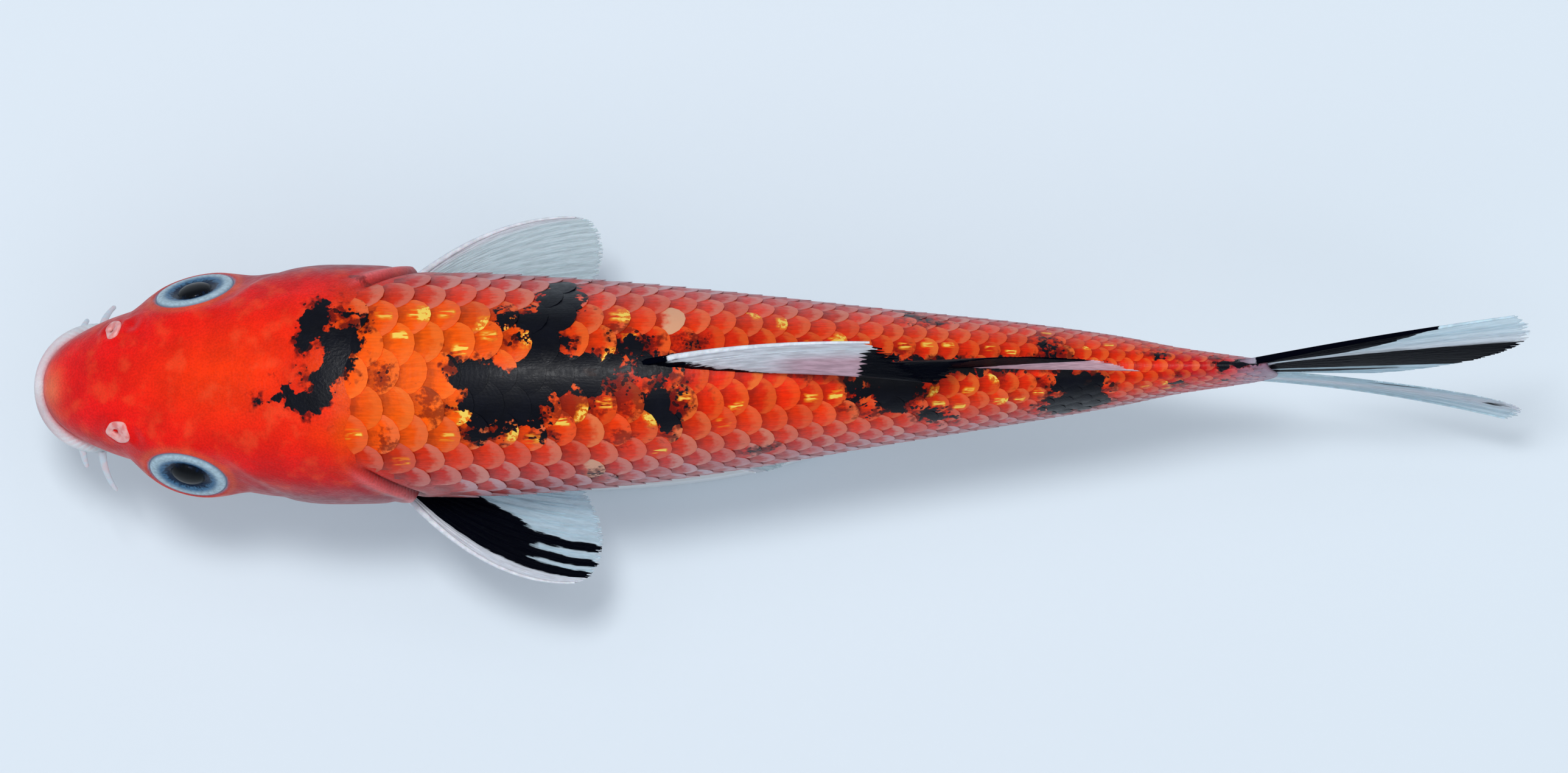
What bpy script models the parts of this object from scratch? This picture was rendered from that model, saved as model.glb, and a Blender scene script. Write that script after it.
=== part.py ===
"""Koi carp, a still life-size model of an 18 cm young fish, swimming level on a plain display stand.

Metres, +Z up. The fish's head points to -X and its right side is at +Y. The origin is the middle of the
stand's underside. Inside the script the fish is drawn in its own frame, held by the empty "koi": +X runs
from the lips to the tail, and z = 0 is the body line, the level at which the trunk is widest.
"""

import math

import bmesh
import bpy
import numpy as np
from mathutils import Matrix, Vector

MM = 0.001

# ---------------------------------------------------------------- driving dimensions
TAIL_TIP = 181.4 * MM  # from the lips to the tip of the tail fin's lower lobe
NOSE = 1.0 * MM  # where the snout starts, behind the front of the upper lip
STALK_END = 146 * MM  # where the flesh ends and the tail fin starts
BODY_LINE_HEIGHT = 41 * MM  # of the body line above the floor
STAND_STATION = 63 * MM  # the point along the fish that is over the middle of the stand
GAP = 0.3 * MM  # between pieces that meet
CUT_DEPTH = 1.5 * MM  # how far a fin's root runs into the body before it is trimmed

# The body's sections: distance from the lips, half width, height above and depth below the section's
# axis, and the height of that axis over the body line, all in millimetres.
STATIONS = np.array(
    (
        (1.0, 0.0, 0.0, 0.0, -3.2),
        (2.2, 3.7, 2.9, 3.3, -3.1),
        (5.4, 6.3, 5.8, 5.6, -2.7),
        (9.5, 8.2, 8.5, 7.9, -2.2),
        (18.0, 10.6, 11.9, 11.4, -1.1),
        (27.0, 13.1, 14.4, 14.4, -0.3),
        (36.0, 14.15, 16.9, 16.3, 0.0),
        (45.0, 14.0, 18.7, 17.5, 0.0),
        (58.0, 13.45, 20.2, 18.5, 0.0),
        (70.0, 12.6, 20.2, 18.7, 0.0),
        (84.0, 11.0, 18.5, 18.0, 0.0),
        (102.0, 8.5, 15.0, 15.2, 0.0),
        (119.5, 6.2, 11.2, 10.6, 0.0),
        (131.0, 4.4, 9.3, 8.9, 0.0),
        (139.0, 2.8, 9.0, 8.7, 0.0),
        (146.0, 1.7, 9.9, 9.6, 0.0),
    )
)
HEAD_TOP_POWER, TRUNK_TOP_POWER, BELLY_POWER = 2.45, 2.05, 2.25  # 2 is an ellipse, more is boxier
POWER_STATIONS = (26 * MM, 58 * MM)  # the crown goes over from the head's power to the trunk's
SWAY, SWAY_STATIONS = 1.7 * MM, (60 * MM, 140 * MM)  # the tail stalk bends to the fish's right

# Where the head ends, at the nape, at the gill opening's hindmost point and at the throat.
NAPE, GILL_REAR, THROAT = 37.5 * MM, 46.2 * MM, 33 * MM
GILL_REAR_TURN = math.radians(88)  # angle round the body from the ridge of the back
HEAD_CORE = 40 * MM  # where the middle of the head's rear face is
TRUNK_SPLIT, STALK_START = 72 * MM, 112 * MM

GILL_COVER_FRONT = 29 * MM
GILL_COVER_TURNS = (math.radians(60), math.radians(146))
GILL_COVER_PROUD, GILL_COVER_THICK = 0.5 * MM, 1.7 * MM
GILL_SLIT = 0.9 * MM

EYE_CENTRE = Vector((19.3, 10.15, 3.6)) * MM
EYE_STAGGER = 0.35 * MM  # the right eye sits this much further back and the left this much further forward
EYE_RADIUS, EYE_DEPTH = 5.0 * MM, 2.85 * MM
BROW_WIDTH, BROW_SINK = 0.9 * MM, 0.9 * MM  # the rim of skin round the eye
EYE_FORWARD, EYE_UP = math.radians(15), math.radians(12)  # how far the eye's axis turns from sideways

LIP_FRONT, LIP_RADIUS = 0.65 * MM, 0.95 * MM
MOUTH_LENGTH, MOUTH_HALF_WIDTH = 7.7 * MM, 7.35 * MM
LIP_LEVEL_FRONT, LIP_LEVEL_CORNER = -4.7 * MM, -6.5 * MM
JAW_TOP_FRONT, JAW_END, JAW_SLOPE = -6.0 * MM, 11.5 * MM, math.radians(9)

RING_POINTS = 32

# ---------------------------------------------------------------- the scene


def clear_scene():
    for obj in list(bpy.data.objects):
        bpy.data.objects.remove(obj, do_unlink=True)


def new_collection(name):
    made = bpy.data.collections.new(name)
    bpy.context.scene.collection.children.link(made)
    return made


clear_scene()
KOI_PARTS = new_collection("koi_carp")
CUTTERS = new_collection("cutters")
CUTTERS.hide_render = True

KOI = bpy.data.objects.new("koi", None)
KOI.location = (-STAND_STATION, 0, BODY_LINE_HEIGHT)
KOI_PARTS.objects.link(KOI)


def material(name, colour, roughness, metallic=0.0):
    made = bpy.data.materials.new(name)
    made.use_nodes = True
    shader = made.node_tree.nodes["Principled BSDF"]
    shader.inputs["Base Color"].default_value = (*colour, 1)
    shader.inputs["Roughness"].default_value = roughness
    shader.inputs["Metallic"].default_value = metallic
    return made


HEAD_RED = material("head_red", (0.80, 0.06, 0.02), 0.35)
BODY_ORANGE = material("body_orange", (0.85, 0.14, 0.02), 0.4)
LIP_PALE = material("lip_pale", (0.80, 0.78, 0.74), 0.4)
FIN_PALE = material("fin_pale", (0.75, 0.82, 0.84), 0.45)
FIN_BLACK = material("fin_black", (0.03, 0.03, 0.05), 0.45)
EYE_DARK = material("eye_dark", (0.05, 0.09, 0.14), 0.08)
STAND_GREY = material("stand_grey", (0.78, 0.80, 0.81), 0.45)
STAND_STEEL = material("stand_steel", (0.62, 0.63, 0.64), 0.3, 1.0)


def place(name, mesh, finish, parent=KOI):
    """An object of the model, named as its node."""
    obj = bpy.data.objects.new(name, mesh)
    obj.data.materials.append(finish)
    obj.parent = parent
    KOI_PARTS.objects.link(obj)
    return obj


def cutter(name, mesh, parent=KOI):
    """A helper that only shapes other objects."""
    obj = bpy.data.objects.new(name, mesh)
    obj.parent = parent
    obj.hide_render = True
    obj.display_type = "WIRE"
    CUTTERS.objects.link(obj)
    return obj


def cut(obj, tool, operation="DIFFERENCE"):
    modifier = obj.modifiers.new(f"cut_{tool.name}", "BOOLEAN")
    modifier.object = tool
    modifier.operation = operation
    modifier.solver = "EXACT"


# ---------------------------------------------------------------- the body's shape


def ease(share):
    """0 to 1 with a soft start and a soft end."""
    share = min(max(share, 0.0), 1.0)
    return share * share * (3 - 2 * share)


def end_slope(step, next_step, rise, next_rise):
    slope = ((2 * step + next_step) * rise - step * next_rise) / (step + next_step)
    if slope * rise <= 0:
        return 0.0
    return 3 * rise if rise * next_rise < 0 and abs(slope) > 3 * abs(rise) else slope


def curve_through(places, heights):
    """A smooth function through the points that never swings past them (a monotone cubic)."""
    steps = np.diff(places)
    rises = np.diff(heights) / steps
    slopes = np.zeros(len(places))
    for i in range(1, len(rises)):
        if rises[i - 1] * rises[i] > 0:
            near, far = 2 * steps[i] + steps[i - 1], steps[i] + 2 * steps[i - 1]
            slopes[i] = (near + far) / (near / rises[i - 1] + far / rises[i])
    slopes[0] = end_slope(steps[0], steps[1], rises[0], rises[1])
    slopes[-1] = end_slope(steps[-1], steps[-2], rises[-1], rises[-2])

    def at(place):
        i = int(np.clip(np.searchsorted(places, place) - 1, 0, len(steps) - 1))
        t = min(max((place - places[i]) / steps[i], 0.0), 1.0)
        return (
            heights[i] * (1 + 2 * t) * (1 - t) ** 2
            + slopes[i] * steps[i] * t * (1 - t) ** 2
            + heights[i + 1] * t * t * (3 - 2 * t)
            - slopes[i + 1] * steps[i] * t * t * (1 - t)
        )

    return at


def squared_curve(column):
    """Sizes are joined through their squares, so that the snout closes round and not as a cone."""
    at = curve_through(STATIONS[:, 0] * MM, (STATIONS[:, column] * MM) ** 2)
    return lambda station: math.sqrt(max(at(station), 0.0))


half_width, rise_above, drop_below = (squared_curve(column) for column in (1, 2, 3))
axis_level = curve_through(STATIONS[:, 0] * MM, STATIONS[:, 4] * MM)


def sway(station):
    low, high = SWAY_STATIONS
    return SWAY * ease((station - low) / (high - low))


def bare_point(station, turn):
    low, high = POWER_STATIONS
    crown = HEAD_TOP_POWER + (TRUNK_TOP_POWER - HEAD_TOP_POWER) * ease((station - low) / (high - low))
    side, up = math.sin(turn), math.cos(turn)
    power = 2 / (crown if up > 0 else BELLY_POWER)
    height = (rise_above if up > 0 else drop_below)(station)
    return Vector(
        (
            station,
            sway(station) + half_width(station) * math.copysign(abs(side) ** power, side),
            axis_level(station) + height * math.copysign(abs(up) ** power, up),
        )
    )


def skin_point(station, turn, out=0.0):
    """A point of the body's surface, or as far out from it as asked, square to it.

    turn is the angle round the body, from the ridge of the back to the right side.
    """
    point = bare_point(station, turn)
    if out:
        step = 0.15 * MM
        along = bare_point(station + step, turn) - bare_point(max(station - step, NOSE), turn)
        around = bare_point(station, turn + 0.02) - bare_point(station, turn - 0.02)
        point += along.cross(around).normalized() * out
    return point


def axis_point(station):
    return Vector((station, sway(station), axis_level(station)))


def back_line(station):
    return skin_point(station, 0.0)


def belly_line(station):
    return skin_point(station, math.pi)


def head_end(turn):
    """The station at which the head ends, by the angle round the body."""
    turn = abs(math.remainder(turn, math.tau))
    if turn < GILL_REAR_TURN:
        return NAPE + (GILL_REAR - NAPE) * ease(turn / GILL_REAR_TURN) ** 3
    under = (math.pi - turn) / (math.pi - GILL_REAR_TURN)
    return THROAT + (GILL_REAR - THROAT) * ease(under) ** 1.4


# ---------------------------------------------------------------- mesh helpers


def mesh_from(name, points, faces, closed=True):
    made = bmesh.new()
    corners = [made.verts.new(point) for point in points]
    for face in faces:
        made.faces.new([corners[i] for i in face])
    if closed:
        bmesh.ops.recalc_face_normals(made, faces=made.faces)
    mesh = bpy.data.meshes.new(name)
    made.to_mesh(mesh)
    made.free()
    mesh.shade_smooth()
    mesh.set_sharp_from_angle(angle=math.radians(40))
    return mesh


def loft(name, rings, start, end):
    """A closed skin over rings of equally many points, closed at each end by a fan to one point."""
    count = len(rings[0])
    points = [point for ring in rings for point in ring] + [start, end]
    first, last = len(points) - 2, len(points) - 1
    faces = []
    for i in range(len(rings) - 1):
        for j in range(count):
            k = (j + 1) % count
            here, there = i * count, (i + 1) * count
            faces.append((here + j, here + k, there + k, there + j))
    tail = (len(rings) - 1) * count
    for j in range(count):
        k = (j + 1) % count
        faces.append((first, k, j))
        faces.append((last, tail + j, tail + k))
    return mesh_from(name, points, faces)


def body_ring(station_at, out=0.0):
    turns = [math.tau * j / RING_POINTS for j in range(RING_POINTS)]
    return [skin_point(station_at(turn), turn, out) for turn in turns]


def sheet(name, point_at, across, along, side=1):
    """An open surface of across by along quads, point_at(u, v) giving its points for u and v from 0 to 1.

    It faces out on the fish's right side (side 1) when u runs down it and v runs forward; -1 turns it round.
    """
    points = [point_at(i / across, j / along) for i in range(across + 1) for j in range(along + 1)]
    row = along + 1
    faces = [
        (i * row + j, (i + 1) * row + j, (i + 1) * row + j + 1, i * row + j + 1)[::side]
        for i in range(across)
        for j in range(along)
    ]
    return mesh_from(name, points, faces, closed=False)


def thicken(obj, root_thickness, tip_thickness, offset=0.0):
    """Solidify, thick at the root (v = 0 of the sheet) and thin at the tip."""
    modifier = obj.modifiers.new("thickness", "SOLIDIFY")
    modifier.thickness = root_thickness
    modifier.offset = offset
    modifier.vertex_group = "root"
    modifier.thickness_vertex_group = tip_thickness / root_thickness
    modifier.use_even_offset = False


def fin(name, ray_at, rays, steps, root_thickness, tip_thickness, finish):
    """A fin as a fan of rays: ray_at(u) gives a ray's root, its tip and how far its middle bows aside."""

    def point_at(u, v):
        root, tip, bow = ray_at(u)
        return root.lerp(tip, v) + bow * (4 * v * (1 - v))

    obj = place(name, sheet(name, point_at, rays, steps), finish)
    group = obj.vertex_groups.new(name="root")
    for i in range(rays + 1):
        for j in range(steps + 1):
            group.add([i * (steps + 1) + j], (1 - j / steps) ** 2, "REPLACE")
    thicken(obj, root_thickness, tip_thickness)
    cut(obj, GROWN_BODY)
    return obj


def tapered_tube(name, points, radius, end_radius, finish, roundness=1):
    """A feeler or a lip: a curve with a bevel, whose radius goes evenly to end_radius."""
    data = bpy.data.curves.new(name, "CURVE")
    data.dimensions = "3D"
    data.bevel_depth = radius
    data.bevel_resolution = roundness
    data.use_fill_caps = True
    line = data.splines.new("POLY")
    line.points.add(len(points) - 1)
    for i, point in enumerate(points):
        share = i / (len(points) - 1)
        line.points[i].co = (*point, 1)
        line.points[i].radius = 1 + (end_radius / radius - 1) * share
    obj = bpy.data.objects.new(name, data)
    obj.parent = KOI
    KOI_PARTS.objects.link(obj)
    if finish:
        data.materials.append(finish)
    return obj


def tube_mesh(name, points, radius):
    """The same tube as a closed mesh, which a Boolean needs, in the fish's own frame."""
    obj = tapered_tube(name, points, radius, radius, None, roundness=2)
    graph = bpy.context.evaluated_depsgraph_get()
    mesh = bpy.data.meshes.new_from_object(obj.evaluated_get(graph))
    bpy.data.objects.remove(obj)
    made = bmesh.new()
    made.from_mesh(mesh)
    bmesh.ops.remove_doubles(made, verts=made.verts, dist=0.01 * MM)
    bmesh.ops.recalc_face_normals(made, faces=made.faces)
    made.to_mesh(mesh)
    made.free()
    return mesh


# ---------------------------------------------------------------- cutters shared by many pieces


def grown_body():
    """The whole body a gap wider, which trims the roots of the fins and the tops of the rods."""
    stations = np.concatenate(
        (np.linspace(0, 1, 10)[1:] ** 2 * (22 * MM) + NOSE, np.linspace(26 * MM, STALK_END, 31))
    )
    rings = [body_ring(lambda _turn, at=station: at, GAP) for station in stations]
    last = [point + Vector((GAP, 0, 0)) for point in rings[-1]]
    return loft(
        "grown_body",
        [*rings, last],
        axis_point(NOSE) - Vector((GAP, 0, 0)),
        axis_point(STALK_END) + Vector((GAP, 0, 0)),
    )


def mouth_line(share):
    """The upper lip's middle line, from the left corner of the mouth (-1) round to the right (1)."""
    angle = share * math.pi / 2
    back = 1 - math.cos(angle)
    return Vector(
        (
            LIP_FRONT + MOUTH_LENGTH * back,
            MOUTH_HALF_WIDTH * math.sin(angle),
            LIP_LEVEL_FRONT + (LIP_LEVEL_CORNER - LIP_LEVEL_FRONT) * back,
        )
    )


def eye_matrix(side, grow=0.0, wider=0.0, sink=0.0):
    """Carries a unit sphere to the eyeball of one side, 1 for the right and -1 for the left.

    It can be grown all over, made wider only, and sunk into the head along the eye's axis.
    """
    centre = Vector((EYE_CENTRE.x + side * EYE_STAGGER, side * EYE_CENTRE.y, EYE_CENTRE.z))
    outward = Vector(
        (
            -math.sin(EYE_FORWARD) * math.cos(EYE_UP),
            side * math.cos(EYE_FORWARD) * math.cos(EYE_UP),
            math.sin(EYE_UP),
        )
    )
    turned = outward.to_track_quat("Z", "X").to_matrix().to_4x4()
    radius = EYE_RADIUS + grow + wider
    size = Matrix.Diagonal((radius, radius, EYE_DEPTH + grow, 1))
    return Matrix.Translation(centre - outward * sink) @ turned @ size


def ball(name, matrix):
    made = bmesh.new()
    bmesh.ops.create_uvsphere(made, u_segments=20, v_segments=12, radius=1)
    bmesh.ops.transform(made, matrix=matrix, verts=made.verts)
    mesh = bpy.data.meshes.new(name)
    made.to_mesh(mesh)
    made.free()
    mesh.shade_smooth()
    return mesh


def block(name, size):
    made = bmesh.new()
    bmesh.ops.create_cube(made, size=1)
    bmesh.ops.scale(made, vec=size, verts=made.verts)
    mesh = bpy.data.meshes.new(name)
    made.to_mesh(mesh)
    made.free()
    return mesh


def gill_cover_sheet(name, side, margin, height):
    """The outer face of a gill cover, or of the cutter that makes its seat, margin wider all round."""
    low_turn, high_turn = GILL_COVER_TURNS

    def point_at(u, v):
        widen = margin / half_width(GILL_COVER_FRONT)
        turn = low_turn - widen + (high_turn - low_turn + 2 * widen) * u
        rear = head_end(turn) - GILL_SLIT + (GILL_SLIT + GAP if margin else 0.0)
        bulge = math.sin(math.pi * u)
        front = GILL_COVER_FRONT + 3.0 * MM * (1 - bulge) - 2 * margin
        station = rear + (front - rear) * v
        proud = height if margin else height * (0.6 + 1.6 * v) * (1 - v) ** 0.8
        return skin_point(station, side * turn, proud)

    return sheet(name, point_at, 9, 5, side)


GROWN_BODY = cutter("grown_body", grown_body())

# ---------------------------------------------------------------- head


def head_rings(shares, shift):
    """Rings from the snout to the head's end, moved by shift along the fish at that end."""
    return [
        body_ring(lambda turn, part=share: NOSE + part * (head_end(turn) + shift - NOSE))
        for share in shares
    ]


def whole_head(name):
    shares = np.linspace(0, 1, 15)[1:] ** 1.6
    return loft(name, head_rings(shares, -GAP / 2), axis_point(NOSE), axis_point(HEAD_CORE - GAP))


def jaw_block(name, margin):
    """All of the head that lies under the mouth and in front of the jaw's end."""
    depth, width = 16 * MM, 30 * MM
    length = JAW_END / math.cos(JAW_SLOPE)
    obj = cutter(name, block(name, (length + margin + 6 * MM, width, depth)))
    obj.rotation_euler = (0, JAW_SLOPE, 0)
    front_top = Vector((0, 0, JAW_TOP_FRONT + margin))
    centre = Vector(((length + margin - 6 * MM) / 2, 0, -depth / 2))
    obj.location = front_top + Matrix.Rotation(JAW_SLOPE, 3, "Y") @ centre
    return obj


def gill_cover_seat(side, name):
    over = 1.2 * MM
    obj = cutter(name, gill_cover_sheet(name, side, GAP, over))
    modifier = obj.modifiers.new("thickness", "SOLIDIFY")
    modifier.thickness = over + GILL_COVER_THICK + GAP
    modifier.offset = -1
    return obj


def make_head():
    lip_points = [mouth_line(share) for share in np.linspace(-1, 1, 19)]
    lip_groove = cutter("lip_groove", tube_mesh("lip_groove", lip_points, LIP_RADIUS + GAP))
    place("upper_lip", tube_mesh("upper_lip", lip_points, LIP_RADIUS), LIP_PALE)

    head = place("head", whole_head("head"), HEAD_RED)
    for side, word in ((1, "right"), (-1, "left")):
        brow = ball("brow", eye_matrix(side, wider=BROW_WIDTH, sink=BROW_SINK))
        cut(head, cutter(f"brow_{word}", brow), "UNION")
    cut(head, jaw_block("jaw_space", GAP))
    cut(head, lip_groove)

    jaw = place("lower_jaw", whole_head("lower_jaw"), LIP_PALE)
    cut(jaw, jaw_block("jaw_shape", 0.0), "INTERSECT")
    cut(jaw, lip_groove)

    for side, word in ((1, "right"), (-1, "left")):
        place(f"eye_{word}", ball("eye", eye_matrix(side)), EYE_DARK)
        cut(head, cutter(f"eye_socket_{word}", ball("socket", eye_matrix(side, GAP))))
        cut(head, gill_cover_seat(side, f"gill_seat_{word}"))
        cover = place(
            f"gill_cover_{word}",
            gill_cover_sheet("gill_cover", side, 0.0, GILL_COVER_PROUD),
            HEAD_RED,
        )
        modifier = cover.modifiers.new("thickness", "SOLIDIFY")
        modifier.thickness = GILL_COVER_THICK
        modifier.offset = -1


# ---------------------------------------------------------------- feelers and nostril flaps

# Each barbel: where it leaves the lip (share of the mouth line), its length, and how its tip turns.
BARBELS = {"front": (0.76, 2.4 * MM, 0.3), "rear": (0.96, 5.8 * MM, 0.5)}
BARBEL_DROOP = {1: 1.8, -1: 0.9}  # the right ones hang more steeply
BARBEL_RADIUS, BARBEL_TIP_RADIUS = 0.48 * MM, 0.26 * MM


def make_barbel(kind, side, word):
    """A feeler that leaves the lip outward and down, and curls back."""
    share, length, curl = BARBELS[kind]
    start = mouth_line(side * share)
    droop = BARBEL_DROOP[side]
    outward = Vector((0.0, side, -droop)).normalized()
    back = Vector((1.0, side * 0.4, -0.7 * droop)).normalized()
    points = [start + outward * (LIP_RADIUS + GAP)]
    steps = 7
    for i in range(steps):
        share_along = (i + 0.5) / steps
        heading = outward.lerp(back, curl * share_along).normalized()
        points.append(points[-1] + heading * (length / steps))
    tapered_tube(f"barbel_{kind}_{word}", points, BARBEL_RADIUS, BARBEL_TIP_RADIUS, LIP_PALE)


NOSTRIL_STATION, NOSTRIL_TURN = 9.8 * MM, math.radians(39)
NOSTRIL_LENGTH, NOSTRIL_RISE = 2.8 * MM, 1.4 * MM


def make_nostril_flap(side, word):
    """The small skin flap that stands across each nostril, leaning back."""

    def ray_at(u):
        turn = side * (NOSTRIL_TURN + (u - 0.5) * NOSTRIL_LENGTH / half_width(NOSTRIL_STATION))
        station = NOSTRIL_STATION + 0.5 * MM * (u - 0.5) ** 2 * 4
        height = NOSTRIL_RISE * (0.45 + 0.55 * math.sin(math.pi * u))
        root = skin_point(station, turn, -0.6 * MM)
        tip = skin_point(station + 1.4 * MM, turn, height)
        return root, tip, Vector((0, 0, 0))

    fin(f"nostril_flap_{word}", ray_at, 6, 2, 0.75 * MM, 0.55 * MM, LIP_PALE)


# ---------------------------------------------------------------- trunk and tail stalk


def plain_rings(start, end, spacing):
    count = max(2, round((end - start) / spacing) + 1)
    return [body_ring(lambda _turn, at=station: at) for station in np.linspace(start, end, count)]


def make_trunk():
    rear = TRUNK_SPLIT - GAP / 2

    def gathered(turn, share):
        front = head_end(turn) + GAP / 2
        return front + share * (rear - front)

    rings = [body_ring(lambda turn, part=share: gathered(turn, part)) for share in np.linspace(0, 1, 7)]
    front = loft("trunk_front", rings, axis_point(HEAD_CORE), axis_point(rear))
    place("trunk_front", front, BODY_ORANGE)

    start, end = TRUNK_SPLIT + GAP / 2, STALK_START - GAP / 2
    middle = loft("trunk_rear", plain_rings(start, end, 5 * MM), axis_point(start), axis_point(end))
    place("trunk_rear", middle, BODY_ORANGE)

    start = STALK_START + GAP / 2
    rings = plain_rings(start, STALK_END, 4.2 * MM)
    stalk = loft("tail_stalk", rings, axis_point(start), axis_point(STALK_END))
    place("tail_stalk", stalk, BODY_ORANGE)


# ---------------------------------------------------------------- fins
DORSAL_BASE = (72.8 * MM, 117 * MM)
DORSAL_SPINE_REACH, DORSAL_LAST_REACH = 28.5 * MM, 16.5 * MM  # how far the first and last rays run back
DORSAL_SPINE_RISE, DORSAL_LAST_RISE = 12.5 * MM, 3.2 * MM
DORSAL_LEAN = 2.0 * MM


def dorsal_ray(u):
    """Half folded: the stout first ray stands over the back, and the rest lie lower one after another."""
    low, high = DORSAL_BASE
    station = low + (high - low) * u
    root = back_line(station) - Vector((0, 0, CUT_DEPTH))
    fall = (1 - u) ** 2.6
    reach = DORSAL_LAST_REACH + (DORSAL_SPINE_REACH - DORSAL_LAST_REACH) * (1 - u) ** 1.6
    rise = DORSAL_LAST_RISE + (DORSAL_SPINE_RISE - DORSAL_LAST_RISE) * fall
    tip = back_line(min(station + reach, STALK_END)) * 0.35 + back_line(station) * 0.65
    tip.x = station + reach
    tip.z += rise
    tip.y = sway(station) + DORSAL_LEAN * fall
    bow = Vector((-0.9 * MM, 0.6 * DORSAL_LEAN * fall, 0.9 * MM))
    return root, tip, bow


PECTORAL_ROOT = ((43.4 * MM, math.radians(115)), (46.2 * MM, math.radians(133)))
PECTORAL_TIPS = (  # from the leading ray to the last: back from the lips, sideways, height
    Vector((65.6, 22.3, -9.0)) * MM,
    Vector((68.6, 20.0, -10.5)) * MM,
    Vector((68.4, 14.8, -13.2)) * MM,
    Vector((64.0, 9.4, -17.2)) * MM,
)
PECTORAL_SPREAD = {1: -1.2 * MM, -1: 1.2 * MM}  # the left fin is held out further than the right
PECTORAL_BOW = {1: 2.5 * MM, -1: 3.4 * MM}


def bezier(points, share):
    """A point of the curve that four points control."""
    a, b, c, d = points
    rest = 1 - share
    return a * rest**3 + b * (3 * rest**2 * share) + c * (3 * rest * share**2) + d * share**3


def mirrored(point, side):
    return Vector((point.x, side * point.y, point.z))


def rooted(root_range, u, side):
    """A root point on the body between two places, sunk under the skin."""
    (station_a, turn_a), (station_b, turn_b) = root_range
    return skin_point(
        station_a + (station_b - station_a) * u, side * (turn_a + (turn_b - turn_a) * u), -CUT_DEPTH
    )


def through(points, share):
    """A smooth edge that passes through four points."""
    a, b, c, d = points
    inner_b = (b * 18 - c * 9 - a * 5 + d * 2) / 6
    inner_c = (c * 18 - b * 9 - d * 5 + a * 2) / 6
    return bezier((a, inner_b, inner_c, d), share)


def pectoral_ray(side):
    def ray_at(u):
        root = rooted(PECTORAL_ROOT, u, side)
        tip = through(PECTORAL_TIPS, u) + Vector((0, PECTORAL_SPREAD[side] * (1 - u), 0))
        bow = Vector((0, side * PECTORAL_BOW[side] * (1 - u) ** 1.3, 0.5 * MM))
        return root, mirrored(tip, side), bow

    return ray_at


PELVIC_ROOT = ((73.0 * MM, math.radians(156)), (75.5 * MM, math.radians(168)))
PELVIC_TIPS = (
    Vector((87.5, 9.4, -20.8)) * MM,
    Vector((91.2, 8.3, -22.2)) * MM,
    Vector((91.0, 6.0, -23.0)) * MM,
    Vector((86.0, 3.4, -22.6)) * MM,
)


def pelvic_ray(side):
    def ray_at(u):
        root = rooted(PELVIC_ROOT, u, side)
        tip = mirrored(through(PELVIC_TIPS, u), side)
        return root, tip, Vector((0, side * 0.6 * MM * (1 - u), -0.3 * MM))

    return ray_at


ANAL_BASE = (109 * MM, 117.5 * MM)
ANAL_TIPS = (
    Vector((121.5, 1.5, -23.6)) * MM,
    Vector((123.6, 1.6, -21.8)) * MM,
    Vector((123.8, 1.6, -18.8)) * MM,
    Vector((124.8, 1.6, -15.4)) * MM,
)


def anal_ray(u):
    low, high = ANAL_BASE
    root = belly_line(low + (high - low) * u) + Vector((0, 0, CUT_DEPTH))
    return root, through(ANAL_TIPS, u), Vector((0.5 * MM, 0, -0.5 * MM))


TAIL_ROOT = STALK_END - 1.5 * MM
TAIL_ROOT_HEIGHTS = {1: 8.3 * MM, -1: 8.0 * MM}  # of the outermost ray, upper and lower
TAIL_FORK = 162.5 * MM
TAIL_ENDS = {1: TAIL_TIP - 1.8 * MM, -1: TAIL_TIP}
TAIL_HEIGHTS = {1: 21.5 * MM, -1: 20.5 * MM}
TAIL_LEAN = {  # sideways at the outer and inner rays' tips, and how fast it falls off between them
    1: (5.0 * MM, -0.35 * MM, 1.8),
    -1: (-4.5 * MM, -1.2 * MM, 1.0),
}
TAIL_BOW = {1: 0.05, -1: -0.2}  # of that lean, half way along a ray


def tail_ray(lobe):
    """lobe is 1 for the upper and -1 for the lower; u runs from the outer ray to the fork."""
    outer_lean, inner_lean, falling = TAIL_LEAN[lobe]
    end, height = TAIL_ENDS[lobe], TAIL_HEIGHTS[lobe]
    tips = (
        Vector((end - 1.5 * MM, 0, height)),
        Vector((end - 0.2 * MM, 0, height * 0.80)),
        Vector((end - 6.8 * MM, 0, height * 0.45)),
        Vector((TAIL_FORK, 0, 1.3 * MM)),
    )

    def ray_at(u):
        root_height = GAP + (TAIL_ROOT_HEIGHTS[lobe] - GAP) * (1 - u) ** 0.9
        root = Vector((TAIL_ROOT, SWAY, lobe * root_height))
        tip = through(tips, u)
        lean = inner_lean + (outer_lean - inner_lean) * (1 - u) ** falling
        tip = Vector((tip.x, SWAY + lean, lobe * tip.z))
        bow = Vector((0, TAIL_BOW[lobe] * lean, lobe * 0.9 * MM * (1 - u)))
        return root, tip, bow

    return ray_at


def make_fins():
    fin("dorsal_fin", dorsal_ray, 15, 5, 1.5 * MM, 0.6 * MM, FIN_BLACK)
    fin("anal_fin", anal_ray, 7, 4, 1.3 * MM, 0.6 * MM, FIN_PALE)
    fin("tail_fin_upper", tail_ray(1), 11, 6, 2.2 * MM, 0.55 * MM, FIN_BLACK)
    fin("tail_fin_lower", tail_ray(-1), 11, 6, 2.2 * MM, 0.55 * MM, FIN_PALE)
    for side, word in ((1, "right"), (-1, "left")):
        finish = FIN_PALE if side > 0 else FIN_BLACK
        fin(f"pectoral_fin_{word}", pectoral_ray(side), 11, 6, 1.6 * MM, 0.55 * MM, finish)
        fin(f"pelvic_fin_{word}", pelvic_ray(side), 7, 4, 1.4 * MM, 0.55 * MM, FIN_PALE)


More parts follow.
